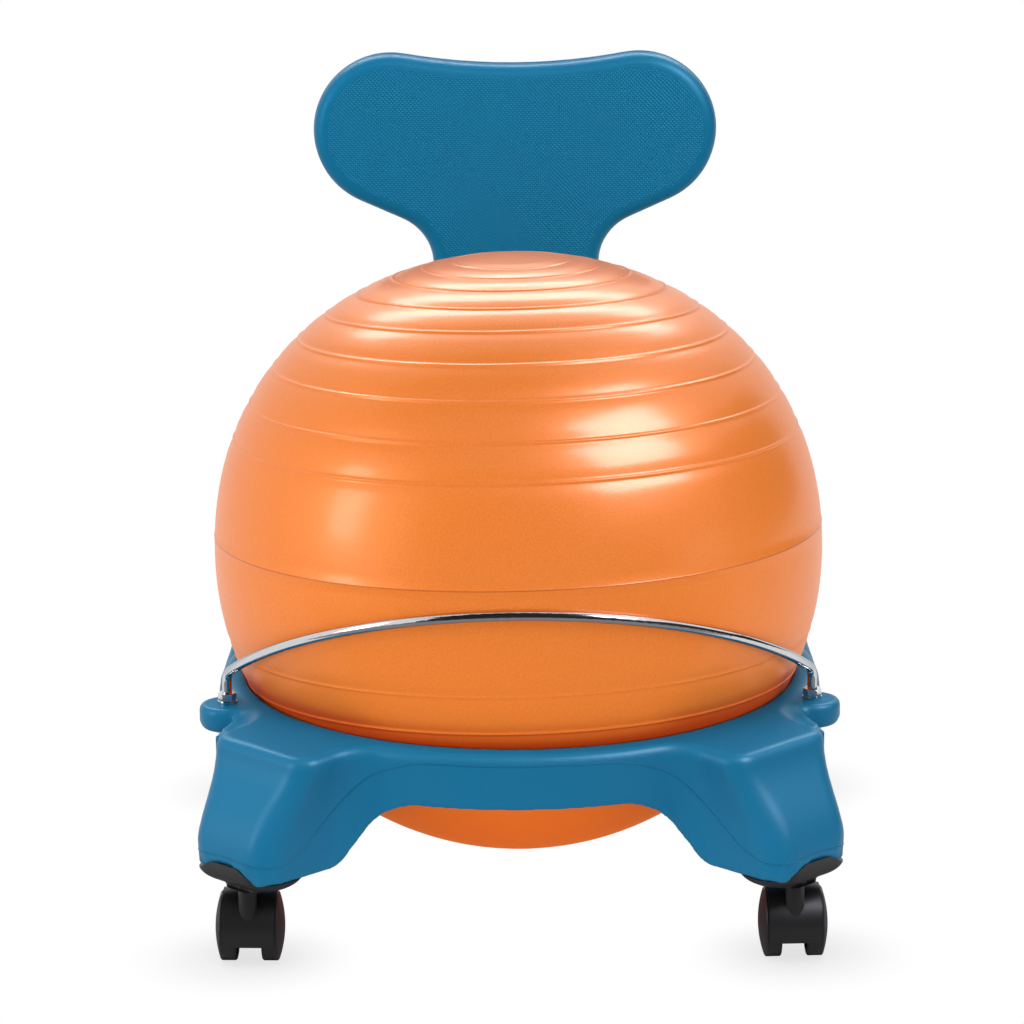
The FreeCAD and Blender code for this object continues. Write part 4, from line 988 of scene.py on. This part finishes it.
world = bpy.data.worlds.new("studio")
bpy.context.scene.world = world
world.use_nodes = True
sky = world.node_tree
surround = sky.nodes["Background"]
surround.inputs["Color"].default_value = (1, 1, 1, 1)
strength = add(sky, "ShaderNodeMapRange", {"To Min": 0.54, "To Max": 1.0})
wire(sky, picture_rays(sky), "Value", strength, "Value")
wire(sky, strength, "Result", surround, "Strength")


def softbox(name, way, distance, size, radiance, gloss, *pieces):
    """Soft lamp seen from the ball in a direction, of a given brightness. It either shows in shiny
    surfaces or fills in the light, and can be shaded off all but some pieces."""
    lamp = bpy.data.lights.new(name, "AREA")
    lamp.shape = "RECTANGLE"
    lamp.size, lamp.size_y = size
    lamp.energy = radiance * math.pi * size[0] * size[1]
    holder = new_object(name, lamp)
    towards = Vector(way).normalized()
    holder.location = ball_centre + towards * distance
    holder.rotation_euler = (-towards).to_track_quat("-Z", "Y").to_euler()
    holder.visible_camera = False
    holder.visible_glossy = gloss
    holder.visible_diffuse = not gloss
    if pieces:
        lit = bpy.data.collections.new(name)
        for lit_piece in pieces:
            lit.objects.link(lit_piece)
        holder.light_linking.receiver_collection = lit
    return holder


# Each lamp: its direction, distance, width and height, brightness, whether it shows in shiny surfaces,
# and the pieces that it lights, if not all
key = softbox("key", (0.57, -0.37, 0.68), 1.8, (1.05, 0.84), 23.0, True)
key.data.color = (0.90, 0.86, 1.0)
softbox("low_left", (-0.88, -0.37, 0.30), 1.8, (0.40, 0.72), 9.5, True)
softbox("back_strip", (0.0, 0.70, 0.72), 2.0, (2.2, 0.5), 12.0, True)
softbox("front_fill", (-0.25, -0.52, 0.84), 2.4, (3.2, 1.4), 1.7, False)
softbox("floor_fill", (0.0, 0.0, -1.0), ball_centre.z - low_lamp_level, (0.6, 0.6), 0.6, False)
softbox("rear_fill", (0.3, 0.75, 0.60), 2.4, (2.4, 1.2), 0.9, False)
softbox("ball_front", (0.0, -1.0, 0.0), 1.2, (1.8, 0.35), 1.5, False, ball_skin)
softbox("ball_left", (-0.92, -0.45, 0.0), 1.5, (0.6, 0.35), 8.0, False, ball_skin)
softbox("ball_right", (0.95, -0.35, 0.0), 1.5, (0.6, 0.35), 8.0, False, ball_skin)
softbox("ring_top", (-0.05, -0.46, 0.89), 2.0, (1.5, 0.8), 3.4, False, base_skin)
softbox("back_front", (0.0, -0.80, 0.60), 2.0, (1.2, 0.8), 3.2, False, back_skin, studs)


# Camera. A long lens from four metres, as in a catalogue picture, looking slightly down. It shows half
# the ball's width over a number of pixels and the ball's middle at a place in the square picture.
view_distance = 4.0
view_down = math.radians(15.5)
view_roll = math.radians(0.48)
frame_pixels = 1024
sensor = 36.0
widest_pixels = 303.8
picture_middle = (518.4, 541.0)
target = Vector((0, axis_y, 0.222))
pixels_per_metre = widest_pixels / ball_radius * math.sqrt(1 - (ball_radius / view_distance) ** 2)
lens = bpy.data.cameras.new("catalogue_view")
lens.sensor_width = sensor
lens.lens = sensor * pixels_per_metre * view_distance / frame_pixels
lens.shift_x = (frame_pixels / 2 - picture_middle[0]) / frame_pixels
lens.shift_y = (picture_middle[1] - frame_pixels / 2) / frame_pixels
camera = new_object("catalogue_view", lens)
forward = Vector((0, math.cos(view_down), -math.sin(view_down)))
camera.location = target - forward * view_distance
tilt = Matrix.Rotation(math.pi / 2 - view_down, 4, "X")
camera.rotation_euler = (tilt @ Matrix.Rotation(-view_roll, 4, "Z")).to_euler()
bpy.context.scene.camera = camera
bpy.context.scene.view_settings.view_transform = "Standard"

bpy.context.view_layer.update()
